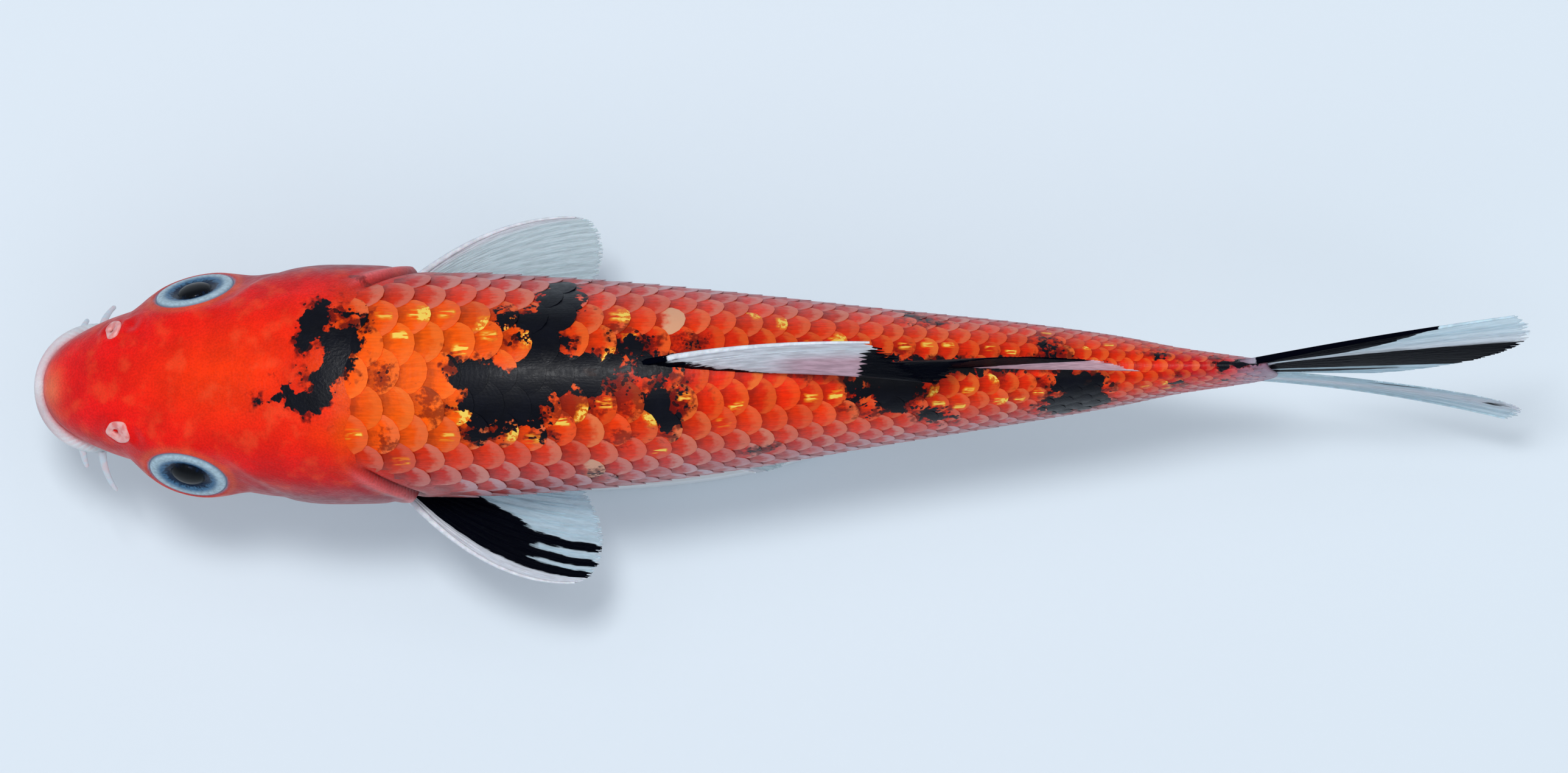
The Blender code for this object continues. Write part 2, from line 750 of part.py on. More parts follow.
# ---------------------------------------------------------------- display stand
BASE_LENGTH, BASE_WIDTH, BASE_THICKNESS = 78 * MM, 21 * MM, 5 * MM
ROD_STATIONS = {"front": 50 * MM, "rear": 83 * MM}
ROD_RADIUS, ROD_FOOT_RADIUS, ROD_CUP_RADIUS = 1.5 * MM, 3.0 * MM, 2.6 * MM


def make_base():
    made = bmesh.new()
    bmesh.ops.create_cone(
        made, cap_ends=True, segments=48, radius1=0.5, radius2=0.5, depth=BASE_THICKNESS
    )
    bmesh.ops.scale(made, vec=(BASE_LENGTH, BASE_WIDTH, 1), verts=made.verts)
    mesh = bpy.data.meshes.new("stand_base")
    made.to_mesh(mesh)
    made.free()
    obj = place("stand_base", mesh, STAND_GREY, parent=None)
    obj.location.z = BASE_THICKNESS / 2
    edge = obj.modifiers.new("soft_edge", "BEVEL")
    edge.width = 0.7 * MM
    edge.segments = 1
    edge.limit_method = "ANGLE"
    edge.angle_limit = math.radians(60)


def make_rod(word, station):
    """A turned rod: a foot on the base, a plain shank, and a small cup under the belly."""
    foot = BASE_THICKNESS + GAP
    top = BODY_LINE_HEIGHT + belly_line(station).z + 1.5 * MM
    outline = (
        (0, top),
        (ROD_CUP_RADIUS, top),
        (ROD_CUP_RADIUS, top - 2.0 * MM),
        (ROD_RADIUS, top - 4.2 * MM),
        (ROD_RADIUS, foot + 1.6 * MM),
        (ROD_FOOT_RADIUS, foot + 0.9 * MM),
        (ROD_FOOT_RADIUS, foot),
        (0, foot),
    )
    mesh = bpy.data.meshes.new(f"stand_rod_{word}")
    mesh.from_pydata(
        [(radius, 0, height) for radius, height in outline],
        [(i, i + 1) for i in range(len(outline) - 1)],
        [],
    )
    obj = place(f"stand_rod_{word}", mesh, STAND_STEEL, parent=None)
    obj.location = (station - STAND_STATION, sway(station), 0)
    turned = obj.modifiers.new("turned", "SCREW")
    turned.steps = turned.render_steps = 20
    turned.use_merge_vertices = True
    turned.merge_threshold = 0.05 * MM
    cut(obj, GROWN_BODY)


# ---------------------------------------------------------------- the whole model


def main():
    make_head()
    for side, word in ((1, "right"), (-1, "left")):
        for kind in BARBELS:
            make_barbel(kind, side, word)
        make_nostril_flap(side, word)
    make_trunk()
    make_fins()
    make_base()
    for word, station in ROD_STATIONS.items():
        make_rod(word, station)


main()
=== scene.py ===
# %% [markdown]
# # A young koi carp on a display stand
# The solids of the fish come from its CAD source, and this lesson dresses them: one skin over all the
# flesh, about a thousand scales over the skin, thin fins held up by rays, and glassy eyes. It starts
# by loading the solids as a fixed frame, because every piece below rides on them and stays in their place.

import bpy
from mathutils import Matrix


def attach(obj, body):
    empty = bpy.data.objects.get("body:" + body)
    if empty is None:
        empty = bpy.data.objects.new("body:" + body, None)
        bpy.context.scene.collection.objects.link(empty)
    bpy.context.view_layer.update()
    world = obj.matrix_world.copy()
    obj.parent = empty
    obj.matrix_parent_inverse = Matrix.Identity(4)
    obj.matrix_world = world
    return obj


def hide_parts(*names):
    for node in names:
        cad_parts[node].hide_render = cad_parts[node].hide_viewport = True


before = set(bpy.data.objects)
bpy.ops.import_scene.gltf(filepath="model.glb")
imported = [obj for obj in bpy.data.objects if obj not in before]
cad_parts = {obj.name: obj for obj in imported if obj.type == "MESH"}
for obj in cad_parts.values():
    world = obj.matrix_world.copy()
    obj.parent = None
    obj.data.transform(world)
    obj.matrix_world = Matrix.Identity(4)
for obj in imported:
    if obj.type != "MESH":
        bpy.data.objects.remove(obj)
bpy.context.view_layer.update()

# %% [markdown]
# ## Two frames
# A fish is easiest to draw from its lips: a station is the distance from the lips in millimetres, and
# heights are measured from the body line, the level at which the trunk is widest. The stand's frame has its
# origin under the stand and is in metres. One function goes from the first to the second.

# %% Units and the step from the fish's frame to the stand's
import math

import bpy
import numpy as np
from mathutils import Vector

MM = 0.001
BODY = "root"
STAND_STATION, BODY_LINE = 63.0, 41.0  # the middle of the stand, and the body line's height over the floor
SIDES = ((1, "right"), (-1, "left"))


def placed(points):
    """Points in the fish's frame (mm) as points in the stand's frame (m)."""
    return (np.asarray(points, float) + (-STAND_STATION, 0.0, BODY_LINE)) * MM


def smooth(value, low, high):
    """0 below low, 1 above high, with a soft start and end."""
    share = np.clip((np.asarray(value, float) - low) / (high - low), 0, 1)
    return share * share * (3 - 2 * share)


def hump(value, centre, width):
    """A soft bump, 1 at the centre and nearly 0 two widths away."""
    return np.exp(-(((np.asarray(value, float) - centre) / width) ** 2))


# %% [markdown]
# ## The bare body
# A carp's trunk is a loft through sections that an anatomist would measure: half width, height of the back
# over each section's axis and depth of the belly under it. Smooth cubic curves join them without ever
# swinging past a measured size. Sizes are joined through their squares, which closes the snout as a round
# nose and not as a cone.

# %% Sections of the body and smooth curves through them
STATIONS = np.array(  # station, half width, rise, drop, level of the axis
    (
        (1.0, 0.0, 0.0, 0.0, -3.2),
        (2.2, 3.7, 2.9, 3.3, -3.1),
        (5.4, 6.3, 5.8, 5.6, -2.7),
        (9.5, 8.2, 8.5, 7.9, -2.2),
        (18.0, 10.6, 11.9, 11.4, -1.1),
        (27.0, 13.1, 14.4, 14.4, -0.3),
        (36.0, 14.15, 16.9, 16.3, 0.0),
        (45.0, 14.0, 18.7, 17.5, 0.0),
        (58.0, 13.45, 20.2, 18.5, 0.0),
        (70.0, 12.6, 20.2, 18.7, 0.0),
        (84.0, 11.0, 18.5, 18.0, 0.0),
        (102.0, 8.5, 15.0, 15.2, 0.0),
        (119.5, 6.2, 11.2, 10.6, 0.0),
        (131.0, 4.4, 9.3, 8.9, 0.0),
        (139.0, 2.8, 9.0, 8.7, 0.0),
        (146.0, 1.7, 9.9, 9.6, 0.0),
        (150.5, 0.75, 10.6, 10.2, 0.0),  # the thin sheath of skin over the roots of the tail's rays
    )
)
NOSE, STALK_END, SHEATH_END = 1.0, 146.0, 150.5


def curve_through(places, heights):
    """A smooth function through the points that never swings past them."""
    places, heights = np.asarray(places, float), np.asarray(heights, float)
    steps = np.diff(places)
    rises = np.diff(heights) / steps
    slopes = np.zeros(len(places))
    for i in range(1, len(rises)):
        if rises[i - 1] * rises[i] > 0:
            near, far = 2 * steps[i] + steps[i - 1], steps[i] + 2 * steps[i - 1]
            slopes[i] = (near + far) / (near / rises[i - 1] + far / rises[i])
    slopes[0], slopes[-1] = rises[0], rises[-1]

    def at(place):
        i = np.clip(np.searchsorted(places, place) - 1, 0, len(steps) - 1)
        t = np.clip((place - places[i]) / steps[i], 0, 1)
        return (
            heights[i] * (1 + 2 * t) * (1 - t) ** 2
            + slopes[i] * steps[i] * t * (1 - t) ** 2
            + heights[i + 1] * t * t * (3 - 2 * t)
            - slopes[i + 1] * steps[i] * t * t * (1 - t)
        )

    return at


def squared_curve(column):
    at = curve_through(STATIONS[:, 0], STATIONS[:, column] ** 2)
    return lambda station: np.sqrt(np.maximum(at(np.asarray(station, float)), 0))


half_width, rise_above, drop_below = (squared_curve(column) for column in (1, 2, 3))
axis_level = curve_through(STATIONS[:, 0], STATIONS[:, 4])
print("widest point:", round(float(half_width(np.linspace(1, 146, 300)).max()) * 2, 1), "mm")

# %% [markdown]
# Each section is a superellipse, because a carp's crown is a little boxier than an ellipse and its trunk less
# so. Together they make a surface with two coordinates, the station and the turn round the body. The skin and
# everything on it ask this surface where they lie and which way is out.

# %% Points of the bare body
HEAD_TOP_POWER, TRUNK_TOP_POWER, BELLY_POWER = 2.45, 2.05, 2.25
SWAY = 1.7  # how far the tail stalk bends to the fish's right


def sway(station):
    return SWAY * smooth(station, 60, 140)


def bare_point(station, turn):
    """Points of the bare body. turn goes round it from the ridge of the back to the right side."""
    station, turn = np.broadcast_arrays(np.asarray(station, float), np.asarray(turn, float))
    crown = HEAD_TOP_POWER + (TRUNK_TOP_POWER - HEAD_TOP_POWER) * smooth(station, 26, 58)
    side, up = np.sin(turn), np.cos(turn)
    power = 2 / np.where(up > 0, crown, BELLY_POWER)
    height = np.where(up > 0, rise_above(station), drop_below(station))
    return np.stack(
        (
            station,
            sway(station) + half_width(station) * np.sign(side) * np.abs(side) ** power,
            axis_level(station) + height * np.sign(up) * np.abs(up) ** power,
        ),
        axis=-1,
    )


def unit(vectors):
    return vectors / np.maximum(np.linalg.norm(vectors, axis=-1, keepdims=True), 1e-9)


def bare_normal(station, turn):
    step = 0.15
    ahead = bare_point(station + step, turn) - bare_point(np.maximum(station - step, NOSE), turn)
    around = bare_point(station, turn + 0.03) - bare_point(station, turn - 0.03)
    return unit(np.cross(ahead, around))


def skin_point(station, turn, out=0.0):
    """The same, moved out square to the surface."""
    return bare_point(station, turn) + bare_normal(station, turn) * np.asarray(out)[..., None]


print("top of the shoulder:", round(float(bare_point(58.0, 0.0)[2]), 1), "mm over the body line")

# %% [markdown]
# ## Round the body by girth
# Scale rows, colour bands and black marks follow the skin's own surface, so they need a coordinate that is
# even along the girth: the share of the way from the back's ridge (0) to the belly's keel (1, or -1 on the
# left). It has no formula for a superellipse, so a table of section lengths is made once and looked up.

# %% The table of girths
TABLE_ROWS, TABLE_COLUMNS = 420, 121
FIRST_ROW = 0.005  # the first section lies this share of the way from the nose's pole, before squaring


def girth_tables():
    """Turn by share of the half girth, and the half girth itself, for rows spaced finely at the snout."""
    turns = np.linspace(0, math.pi, 361)
    shares = np.linspace(0, 1, TABLE_COLUMNS)
    by_share, lengths = [], []
    for row in np.linspace(FIRST_ROW, 1, TABLE_ROWS):
        points = bare_point(NOSE + row**2 * (SHEATH_END - NOSE), turns)
        walked = np.concatenate(((0,), np.cumsum(np.linalg.norm(np.diff(points, axis=0), axis=1))))
        by_share.append(np.interp(shares * walked[-1], walked, turns))
        lengths.append(walked[-1])
    return np.array(by_share), np.array(lengths)


TURNS_BY_SHARE, HALF_GIRTHS = girth_tables()


def table_row(station):
    row = np.sqrt(np.clip((station - NOSE) / (SHEATH_END - NOSE), 0, 1))
    return np.clip((row - FIRST_ROW) / (1 - FIRST_ROW), 0, 1) * (TABLE_ROWS - 1)


def half_girth(station):
    return np.interp(table_row(np.asarray(station, float)), np.arange(TABLE_ROWS), HALF_GIRTHS)


def turn_at(station, share):
    """The turn at a signed share of the half girth; shares past 1 come round on the other side."""
    station, share = np.broadcast_arrays(np.asarray(station, float), np.asarray(share, float))
    share = (share + 1) % 2 - 1
    row, column = table_row(station), np.abs(share) * (TABLE_COLUMNS - 1)
    i = np.minimum(row.astype(int), TABLE_ROWS - 2)
    j = np.minimum(column.astype(int), TABLE_COLUMNS - 2)
    a, b = row - i, column - j
    table = TURNS_BY_SHARE
    turn = (1 - a) * ((1 - b) * table[i, j] + b * table[i, j + 1])
    turn += a * ((1 - b) * table[i + 1, j] + b * table[i + 1, j + 1])
    return np.where(share < 0, -turn, turn)


print("girth at the shoulder:", round(2 * float(half_girth(58.0)), 1), "mm")

# %% [markdown]
# ## Where the head ends
# The head's smooth skin ends at the nape, runs out to the hindmost point of the gill cover and back to the
# throat. Behind that line the scales start, and along its middle part the gill opens.

# %% The head's rear edge
NAPE, GILL_REAR, THROAT = 37.5, 46.2, 33.0
GILL_REAR_TURN = math.radians(88)


def from_ridge(turn):
    """How far a turn is from the back's ridge on either side, up to half a circle."""
    return np.abs((np.asarray(turn, float) + math.pi) % math.tau - math.pi)


def head_end(turn):
    """The station at which the head's skin ends."""
    turn = from_ridge(turn)
    above = NAPE + (GILL_REAR - NAPE) * smooth(turn / GILL_REAR_TURN, 0, 1) ** 3
    under = (math.pi - turn) / (math.pi - GILL_REAR_TURN)
    below = THROAT + (GILL_REAR - THROAT) * smooth(under, 0, 1) ** 1.4
    return np.where(turn < GILL_REAR_TURN, above, below)


def gill_zone(turn):
    """1 along the gill's opening and 0 over the nape and under the throat."""
    turn = from_ridge(turn)
    below_nape = smooth(turn, math.radians(44), math.radians(62))
    return below_nape * (1 - smooth(turn, math.radians(142), math.radians(158)))


print("the head ends at station", NAPE, "on the ridge and", GILL_REAR, "at the gill")


# %% [markdown]
# ## The black marks
# Koi breeders call the black sumi. It lies in the skin as a few big islands with torn edges and a halo of
# brown specks. Each island is drawn here as a few thick brush strokes in skin coordinates: the station, the
# distance round the body from the ridge (right side positive) and the brush's radius, all in millimetres.
# Skin and scales ask the same function how deep they lie inside a mark, so that they always agree. The torn
# edge comes later, from noise in the material. One stroke, left_shadow, is a painted shadow drawn in black.

# %% Brush strokes of the black marks
INK = {
    "nape_arm": [(35.8, 9.2, 0.8), (34.5, 6.2, 1.65), (33.3, 4.4, 1.2)],
    "nape_middle": [(36.5, 4.0, 1.6), (39.2, 4.3, 1.4), (38.1, 2.2, 1.7)],
    "nape_down": [(37.3, 1.6, 1.55), (35.8, -0.8, 1.5), (35.4, -2.8, 1.6)],
    "nape_foot": [
        *((35.4, -3.0, 1.5), (33.3, -3.3, 1.35), (31.4, -2.3, 1.0), (29.9, -2.6, 0.3), (27.7, -3.1, -0.2)),
    ],
    "nape_dots": [(38.5, 8.0, 0.75), (40.2, 8.5, 0.5), (40.2, 7.2, 0.45)],
    "shoulder_streak": [(42.3, -0.3, -0.2), (44.1, -1.2, 0.05)],
    "saddle_top": [(64.6, 16.7, 2.0), (64.1, 11.0, 2.4), (63.3, 7.6, 2.4)],
    "saddle_spine": [
        *((63.1, 7.2, 2.4), (62.5, 4.1, 2.5), (62.4, 1.3, 2.5), (61.5, -1.2, 2.9), (60.0, -3.5, 2.6)),
    ],
    "saddle_left_arm": [(58.0, 7.6, 1.3), (59.8, 6.8, 1.7), (61.5, 5.4, 2.1)],
    "saddle_right_arm": [(63.5, 9.4, 1.8), (65.6, 9.2, 1.3)],
    "saddle_front": [(59.8, -2.8, 3.0), (55.9, -1.7, 2.6), (53.4, -0.9, 1.8), (51.5, 1.4, 1.25)],
    "saddle_leg_a": [(53.8, -3.4, 1.7), (54.2, -5.8, 1.3), (54.1, -8.0, 0.9)],
    "saddle_leg_b": [(57.9, -4.9, 1.8), (57.4, -7.3, 1.0)],
    "saddle_leg_c": [(60.8, -5.2, 1.6), (62.2, -7.9, 1.25)],
    "saddle_rear": [(64.3, 0.2, 2.7), (67.2, 0.1, 2.4), (69.4, 1.2, 1.9), (71.0, 1.5, 1.5)],
    "saddle_rear_low": [(66.3, -1.5, 1.7), (68.8, -2.0, 1.3), (70.4, -1.0, 1.0)],
    "block": [(73.0, 3.5, 1.15), (74.1, 3.2, 1.1)],
    "lower_blob": [(76.0, -3.3, 1.5), (76.7, -4.9, 1.8), (76.7, -6.8, 1.45)],
    "lower_dots": [(79.7, -3.0, 0.7), (78.1, -2.5, 0.2)],
    "fin_pad": [(72.6, 0.5, 1.0), (77.6, 0.8, 0.9)],
    "crumbs": [(78.8, 3.6, 0.2), (80.8, 4.3, 0.1)],
    "left_flank_dots": [(68.3, -17.5, 0.6), (69.7, -18.2, 0.7)],
    "back_front": [(98.6, -1.1, 0.8), (101.6, -0.6, 1.6), (104.5, -1.5, 2.3), (107.4, -0.7, 1.9)],
    "back_leg": [(99.5, -2.9, 1.1), (100.0, -5.0, 0.6)],
    "back_low": [(102.8, -4.0, 1.5), (104.8, -4.4, 1.7), (106.8, -3.7, 1.1)],
    "back_toe": [(108.8, -7.2, 1.4), (109.6, -7.7, 1.4)],
    "back_line": [(108.8, -0.3, 1.1), (111.6, -0.2, 0.6), (119.5, 0.3, 0.4)],
    "right_dots": [(105.2, 12.4, 0.7), (107.6, 8.9, 0.4), (108.8, 8.1, 0.9)],
    # Painted shadow: a thin dark line on the left flank, drawn with the black brush.
    "left_shadow": [(86.8, -13.3, 0.3), (89.3, -14.1, 0.4)],
    "belt": [(125.0, -2.3, 2.1), (127.3, -2.4, 1.9), (127.2, -6.8, 2.6), (124.2, -7.2, 2.6)],
    "stalk_dots": [(122.2, 3.6, 1.0), (123.6, 1.3, 0.5)],
    "stalk_dot": [(135.9, 1.4, 0.75)],
    "stalk_low_dot": [(138.2, -3.4, 0.6)],
    "tail_root": [(143.2, 0.2, 1.1), (146.6, 0.7, 0.8)],
    "tail_root_low": [(144.3, -4.5, 0.5)],
}
print("black marks:", len(INK), "strokes")

# %% [markdown]
# Beside the islands lie russet shadows, where the black shines through the red from below. They are drawn
# with the same brush. The function after them measures how deep a point lies inside a set of strokes.

# %% Brush strokes of the russet shadows, and the depth inside a stroke
RUSSET = {
    "cheek": [(39.1, 15.5, 0.4), (41.5, 14.0, 0.2)],
    "behind_nape": [(41.5, -0.6, 0.5), (43.6, -0.2, 0.9)],
    "before_saddle": [(48.2, -1.8, 0.9), (49.6, -5.0, 1.3)],
    "left_shoulder": [(43.0, -9.2, 1.0), (43.6, -8.6, 0.9)],
    "saddle_edge": [(64.7, -4.5, 2.2), (68.0, -5.2, 1.2)],
    "right_of_fin": [(71.3, 6.0, 1.8), (72.4, 5.2, 1.4)],
    "fin_root": [(78.2, 2.9, 1.0), (80.4, 3.6, 1.3)],
    "left_of_fin": [(70.2, -1.5, 1.6), (73.0, -3.0, 2.0)],
    "left_flank": [(71.5, -9.5, 1.7), (72.2, -9.0, 1.2)],
    "left_of_fin_rear": [(79.3, -3.2, 1.0), (80.4, -2.6, 0.6)],
    "fin_side": [(91.4, -0.3, 0.5), (95.8, -0.9, 0.8)],
    "rear_right": [(104.2, 2.2, 0.7), (105.4, 1.6, 0.8)],
    "stalk_right": [(122.0, 3.4, 1.3), (124.1, 1.2, 0.8)],
}


MARKS = {"ink": INK, "russet": RUSSET}


def stroke_depth(strokes, station, girth):
    """How deep a point of the skin lies inside the nearest stroke, in mm; below 0 outside them all."""
    station, girth = np.asarray(station, float), np.asarray(girth, float)
    deepest = np.full(station.shape, -20.0)
    for stroke in strokes.values():
        for (s0, g0, r0), (s1, g1, r1) in zip(stroke, stroke[1:] or stroke):
            ds, dg = s1 - s0, g1 - g0
            along = ((station - s0) * ds + (girth - g0) * dg) / max(ds * ds + dg * dg, 1e-9)
            along = np.clip(along, 0, 1)
            away = np.hypot(station - s0 - along * ds, girth - g0 - along * dg)
            deepest = np.maximum(deepest, r0 + (r1 - r0) * along - away)
    return deepest


print("russet shadows:", len(RUSSET), "strokes")

# %% [markdown]
# ## The ground colour
# Under the black lies the red, which is not one paint: the crown is scarlet with an orange glow, the
# shoulders burn orange, the flanks fade through rose to a pearly belly, and the gill covers' sides carry a
# plum tint that is a painted reflection of bluish light.
# The function below lays these paints over one another with soft masks, as an airbrush would. A second
# one gives the paler rim that each scale shows over its neighbour.

# %% Paints and how they lie over one another
def paint(red, green, blue):
    """A colour as a paint chart gives it, 0 to 255, turned to linear light."""
    share = np.array((red, green, blue)) / 255
    return np.where(share <= 0.04045, share / 12.92, ((share + 0.055) / 1.055) ** 2.4)


def lay(under, colour, cover):
    """One coat of paint over another, as thick as cover says."""
    cover = np.clip(cover, 0, 1)[..., None]
    return under * (1 - cover) + colour * cover


def primer(colour, points):
    """The first coat, one colour at every point."""
    return np.broadcast_to(colour, (*np.shape(points), 3))


SCARLET, GLOW, DEEP_RED = paint(240, 12, 16), paint(255, 54, 0), paint(206, 6, 12)
ORANGE, HOT_ORANGE, VERMILION = paint(236, 56, 0), paint(250, 92, 0), paint(220, 28, 0)
ROSE, DUSK, PLUM_REFLECTION, BELLY = paint(204, 22, 10), paint(160, 62, 62), paint(150, 22, 44), paint(226, 206, 206)
LIP_PALE, SNOUT_SPOT = paint(218, 228, 234), paint(250, 128, 84)


def ground_tone(station, share):
    """The ground colour of skin and scales."""
    side = np.abs(share)
    tone = primer(ORANGE, station)
    tone = lay(tone, HOT_ORANGE, hump(station, 47, 13) * (1 - smooth(side, 0.1, 0.26)))
    tone = lay(tone, VERMILION, smooth(station, 62, 84) * (1 - smooth(side, 0.04, 0.24)) * 0.75)
    tone = lay(tone, ROSE, smooth(side, 0.16, 0.3) * 0.85)
    tone = lay(tone, DUSK, smooth(side, 0.27, 0.46) * 0.85)
    tone = lay(tone, BELLY, smooth(side, 0.5, 0.74))
    tone = lay(tone, paint(206, 22, 30), smooth(station, 134, 140) * 0.8)
    tone = lay(tone, paint(158, 120, 142), smooth(station, 143.5, 147.5))
    head = primer(SCARLET, station)
    head = lay(head, GLOW, hump(station, 24, 11) * hump(share, 0, 0.17))
    head = lay(head, GLOW, hump(station, 36, 5) * (1 - smooth(side, 0.12, 0.3)) * 0.5)
    head = lay(head, DEEP_RED, smooth(side, 0.2, 0.36))
    # Painted reflection: the plum tint on the gill covers' sides stands for bluish light reflected onto them.
    head = lay(head, PLUM_REFLECTION, smooth(side, 0.27, 0.42) * smooth(station, 20, 32))
    head = lay(head, BELLY, smooth(side, 0.56, 0.8) * 0.9)
    behind = station - head_end(turn_at(station, share))
    wobble = 1.1 * np.sin(share * 21 + 1.0) + 0.8 * np.sin(share * 47 + 2.0) + 0.5 * np.sin(station * 1.7)
    return lay(tone, head, 1 - smooth(behind + wobble, -5.0, 2.5))


def rim_tone(station, share):
    """The paler colour of a scale's free edge."""
    side = np.abs(share)
    tone = primer(paint(250, 128, 52), station)
    tone = lay(tone, paint(220, 132, 112), smooth(side, 0.08, 0.28))
    tone = lay(tone, paint(196, 168, 178), smooth(side, 0.25, 0.45))
    tone = lay(tone, paint(238, 228, 232), smooth(side, 0.5, 0.74))
    return lay(tone, paint(206, 140, 150), smooth(station, 138, 146) * 0.7)


down_the_side = ground_tone(np.full(4, 60.0), np.array((0.0, 0.25, 0.5, 0.75)))
print("ground colour from ridge to belly:", down_the_side.round(2).tolist())


# %% [markdown]
# ## Helpers for node trees
# Materials and Geometry Nodes are both node trees, so one small class wires them: add a node, feed its
# sockets with numbers or other sockets, do sums. It keeps each recipe below readable as a recipe.

# %% A class that wires node trees
class Wiring:
    """Adds nodes to a tree and links them."""

    def __init__(self, tree):
        self.tree = tree

    def add(self, kind, sockets=None, **settings):
        node = self.tree.nodes.new(kind)
        for key, value in settings.items():
            setattr(node, key, value)
        for key, value in (sockets or {}).items():
            self.feed(node.inputs[key], value)
        return node

    def feed(self, socket, value):
        """Links a socket to another, or sets it to a number or a paint."""
        if isinstance(value, bpy.types.NodeSocket):
            self.tree.links.new(value, socket)
        else:
            socket.default_value = (*value.tolist(), 1.0) if isinstance(value, np.ndarray) else value

    def sum(self, operation, *values):
        """A Math node on one to three values."""
        return self.add("ShaderNodeMath", dict(enumerate(values)), operation=operation).outputs[0]

    def plus(self, total, *others):
        for other in others:
            total = self.sum("ADD", total, other)
        return total

    def times(self, total, *others):
        for other in others:
            total = self.sum("MULTIPLY", total, other)
        return total

    def vector(self, x=0.0, y=0.0, z=0.0):
        return self.add("ShaderNodeCombineXYZ", {"X": x, "Y": y, "Z": z}).outputs[0]

    def lumps(self, scale, where, detail=3.0):
        """Noise with this many lumps to one unit of where, as a value from 0 to 1."""
        sockets = {"Scale": scale, "Detail": detail, "Vector": where}
        return self.add("ShaderNodeTexNoise", sockets).outputs["Fac"]

    def noise(self, grain, where, detail=3.0):
        """Noise whose lumps are about grain millimetres wide."""
        return self.lumps(1 / (grain * MM), where, detail)

    def span(self, value, low, high, start=0.0, end=1.0):
        """value from low to high as start to end, eased and clamped."""
        sockets = {"Value": value, "From Min": low, "From Max": high, "To Min": start, "To Max": end}
        return self.add("ShaderNodeMapRange", sockets, interpolation_type="SMOOTHSTEP").outputs["Result"]

    def vary(self, grain, where, start, end, detail=3.0):
        """A number that wavers over the surface; most noise lies between 0.3 and 0.7."""
        return self.span(self.noise(grain, where, detail), 0.3, 0.7, start, end)

    def blend(self, share, under, over, way="MIX"):
        node = self.add("ShaderNodeMix", data_type="RGBA", blend_type=way)
        for index, value in ((0, share), (6, under), (7, over)):
            self.feed(node.inputs[index], value)
        return node.outputs[2]

    def scaled(self, colour, factor):
        sockets = {"Vector": colour, "Scale": factor}
        return self.add("ShaderNodeVectorMath", sockets, operation="SCALE").outputs["Vector"]

    def attribute(self, name, output="Fac"):
        return self.add("ShaderNodeAttribute", attribute_name=name).outputs[output]

    def named(self, name):
        """An attribute of the points, for Geometry Nodes."""
        return self.add("GeometryNodeInputNamedAttribute", {"Name": name}, data_type="FLOAT").outputs[0]

    def place(self):
        return self.add("ShaderNodeTexCoord").outputs["Object"]


# %% [markdown]
# A finish is such a tree with a standard shader at its end. The other trees start empty and end in the
# sockets they are given. Each tells how many nodes it took.

# %% Finishes and empty trees
class Finish(Wiring):
    """A material with its Principled shader, whose plain numbers are set by name."""

    def __init__(self, name, **numbers):
        self.material = bpy.data.materials.new(name)
        self.material.use_nodes = True
        super().__init__(self.material.node_tree)
        self.shader = self.tree.nodes["Principled BSDF"]
        for key, value in numbers.items():
            self.give(key.replace("_", " "), value)

    def give(self, name, value):
        """Feeds one of the shader's sockets."""
        self.feed(self.shader.inputs[name], value)

    def bump(self, height, depth):
        """Relief of depth millimetres from a height between 0 and 1."""
        node = self.add("ShaderNodeBump", {"Height": height, "Distance": depth * MM, "Strength": 1.0})
        self.give("Normal", node.outputs["Normal"])


def new_tree(name, kind, takes, gives):
    """An empty node tree with its named sockets, ready to be wired from its inputs to its outputs."""
    tree = bpy.data.node_groups.new(name, f"{kind}NodeTree")
    for way, sockets in (("INPUT", takes), ("OUTPUT", gives)):
        for socket, socket_kind in sockets.items():
            tree.interface.new_socket(socket, in_out=way, socket_type=f"NodeSocket{socket_kind}")
    w = Wiring(tree)
    return w, w.add("NodeGroupInput").outputs, w.add("NodeGroupOutput").inputs


def tell(*recipes):
    """Prints how many nodes each finish or tree has."""
    for recipe in recipes:
        tree = getattr(recipe, "node_tree", None) or recipe
        print(f"{recipe.name}: {len(tree.nodes)} nodes")


print("coarse and fine noise:", [round(1 / (grain * MM)) for grain in (1.5, 0.4)], "lumps to the metre")


# %% [markdown]
# ## One recipe for torn black edges
# The mark's depth is a smooth number, and noise added to it before a sharp threshold tears its edge. Two
# noises do it: a coarse one bends the shore, a fine one leaves grains. A third with a wider reach scatters
# the brown specks of the halo. It is a node group, because skin and scales must tear the same way.

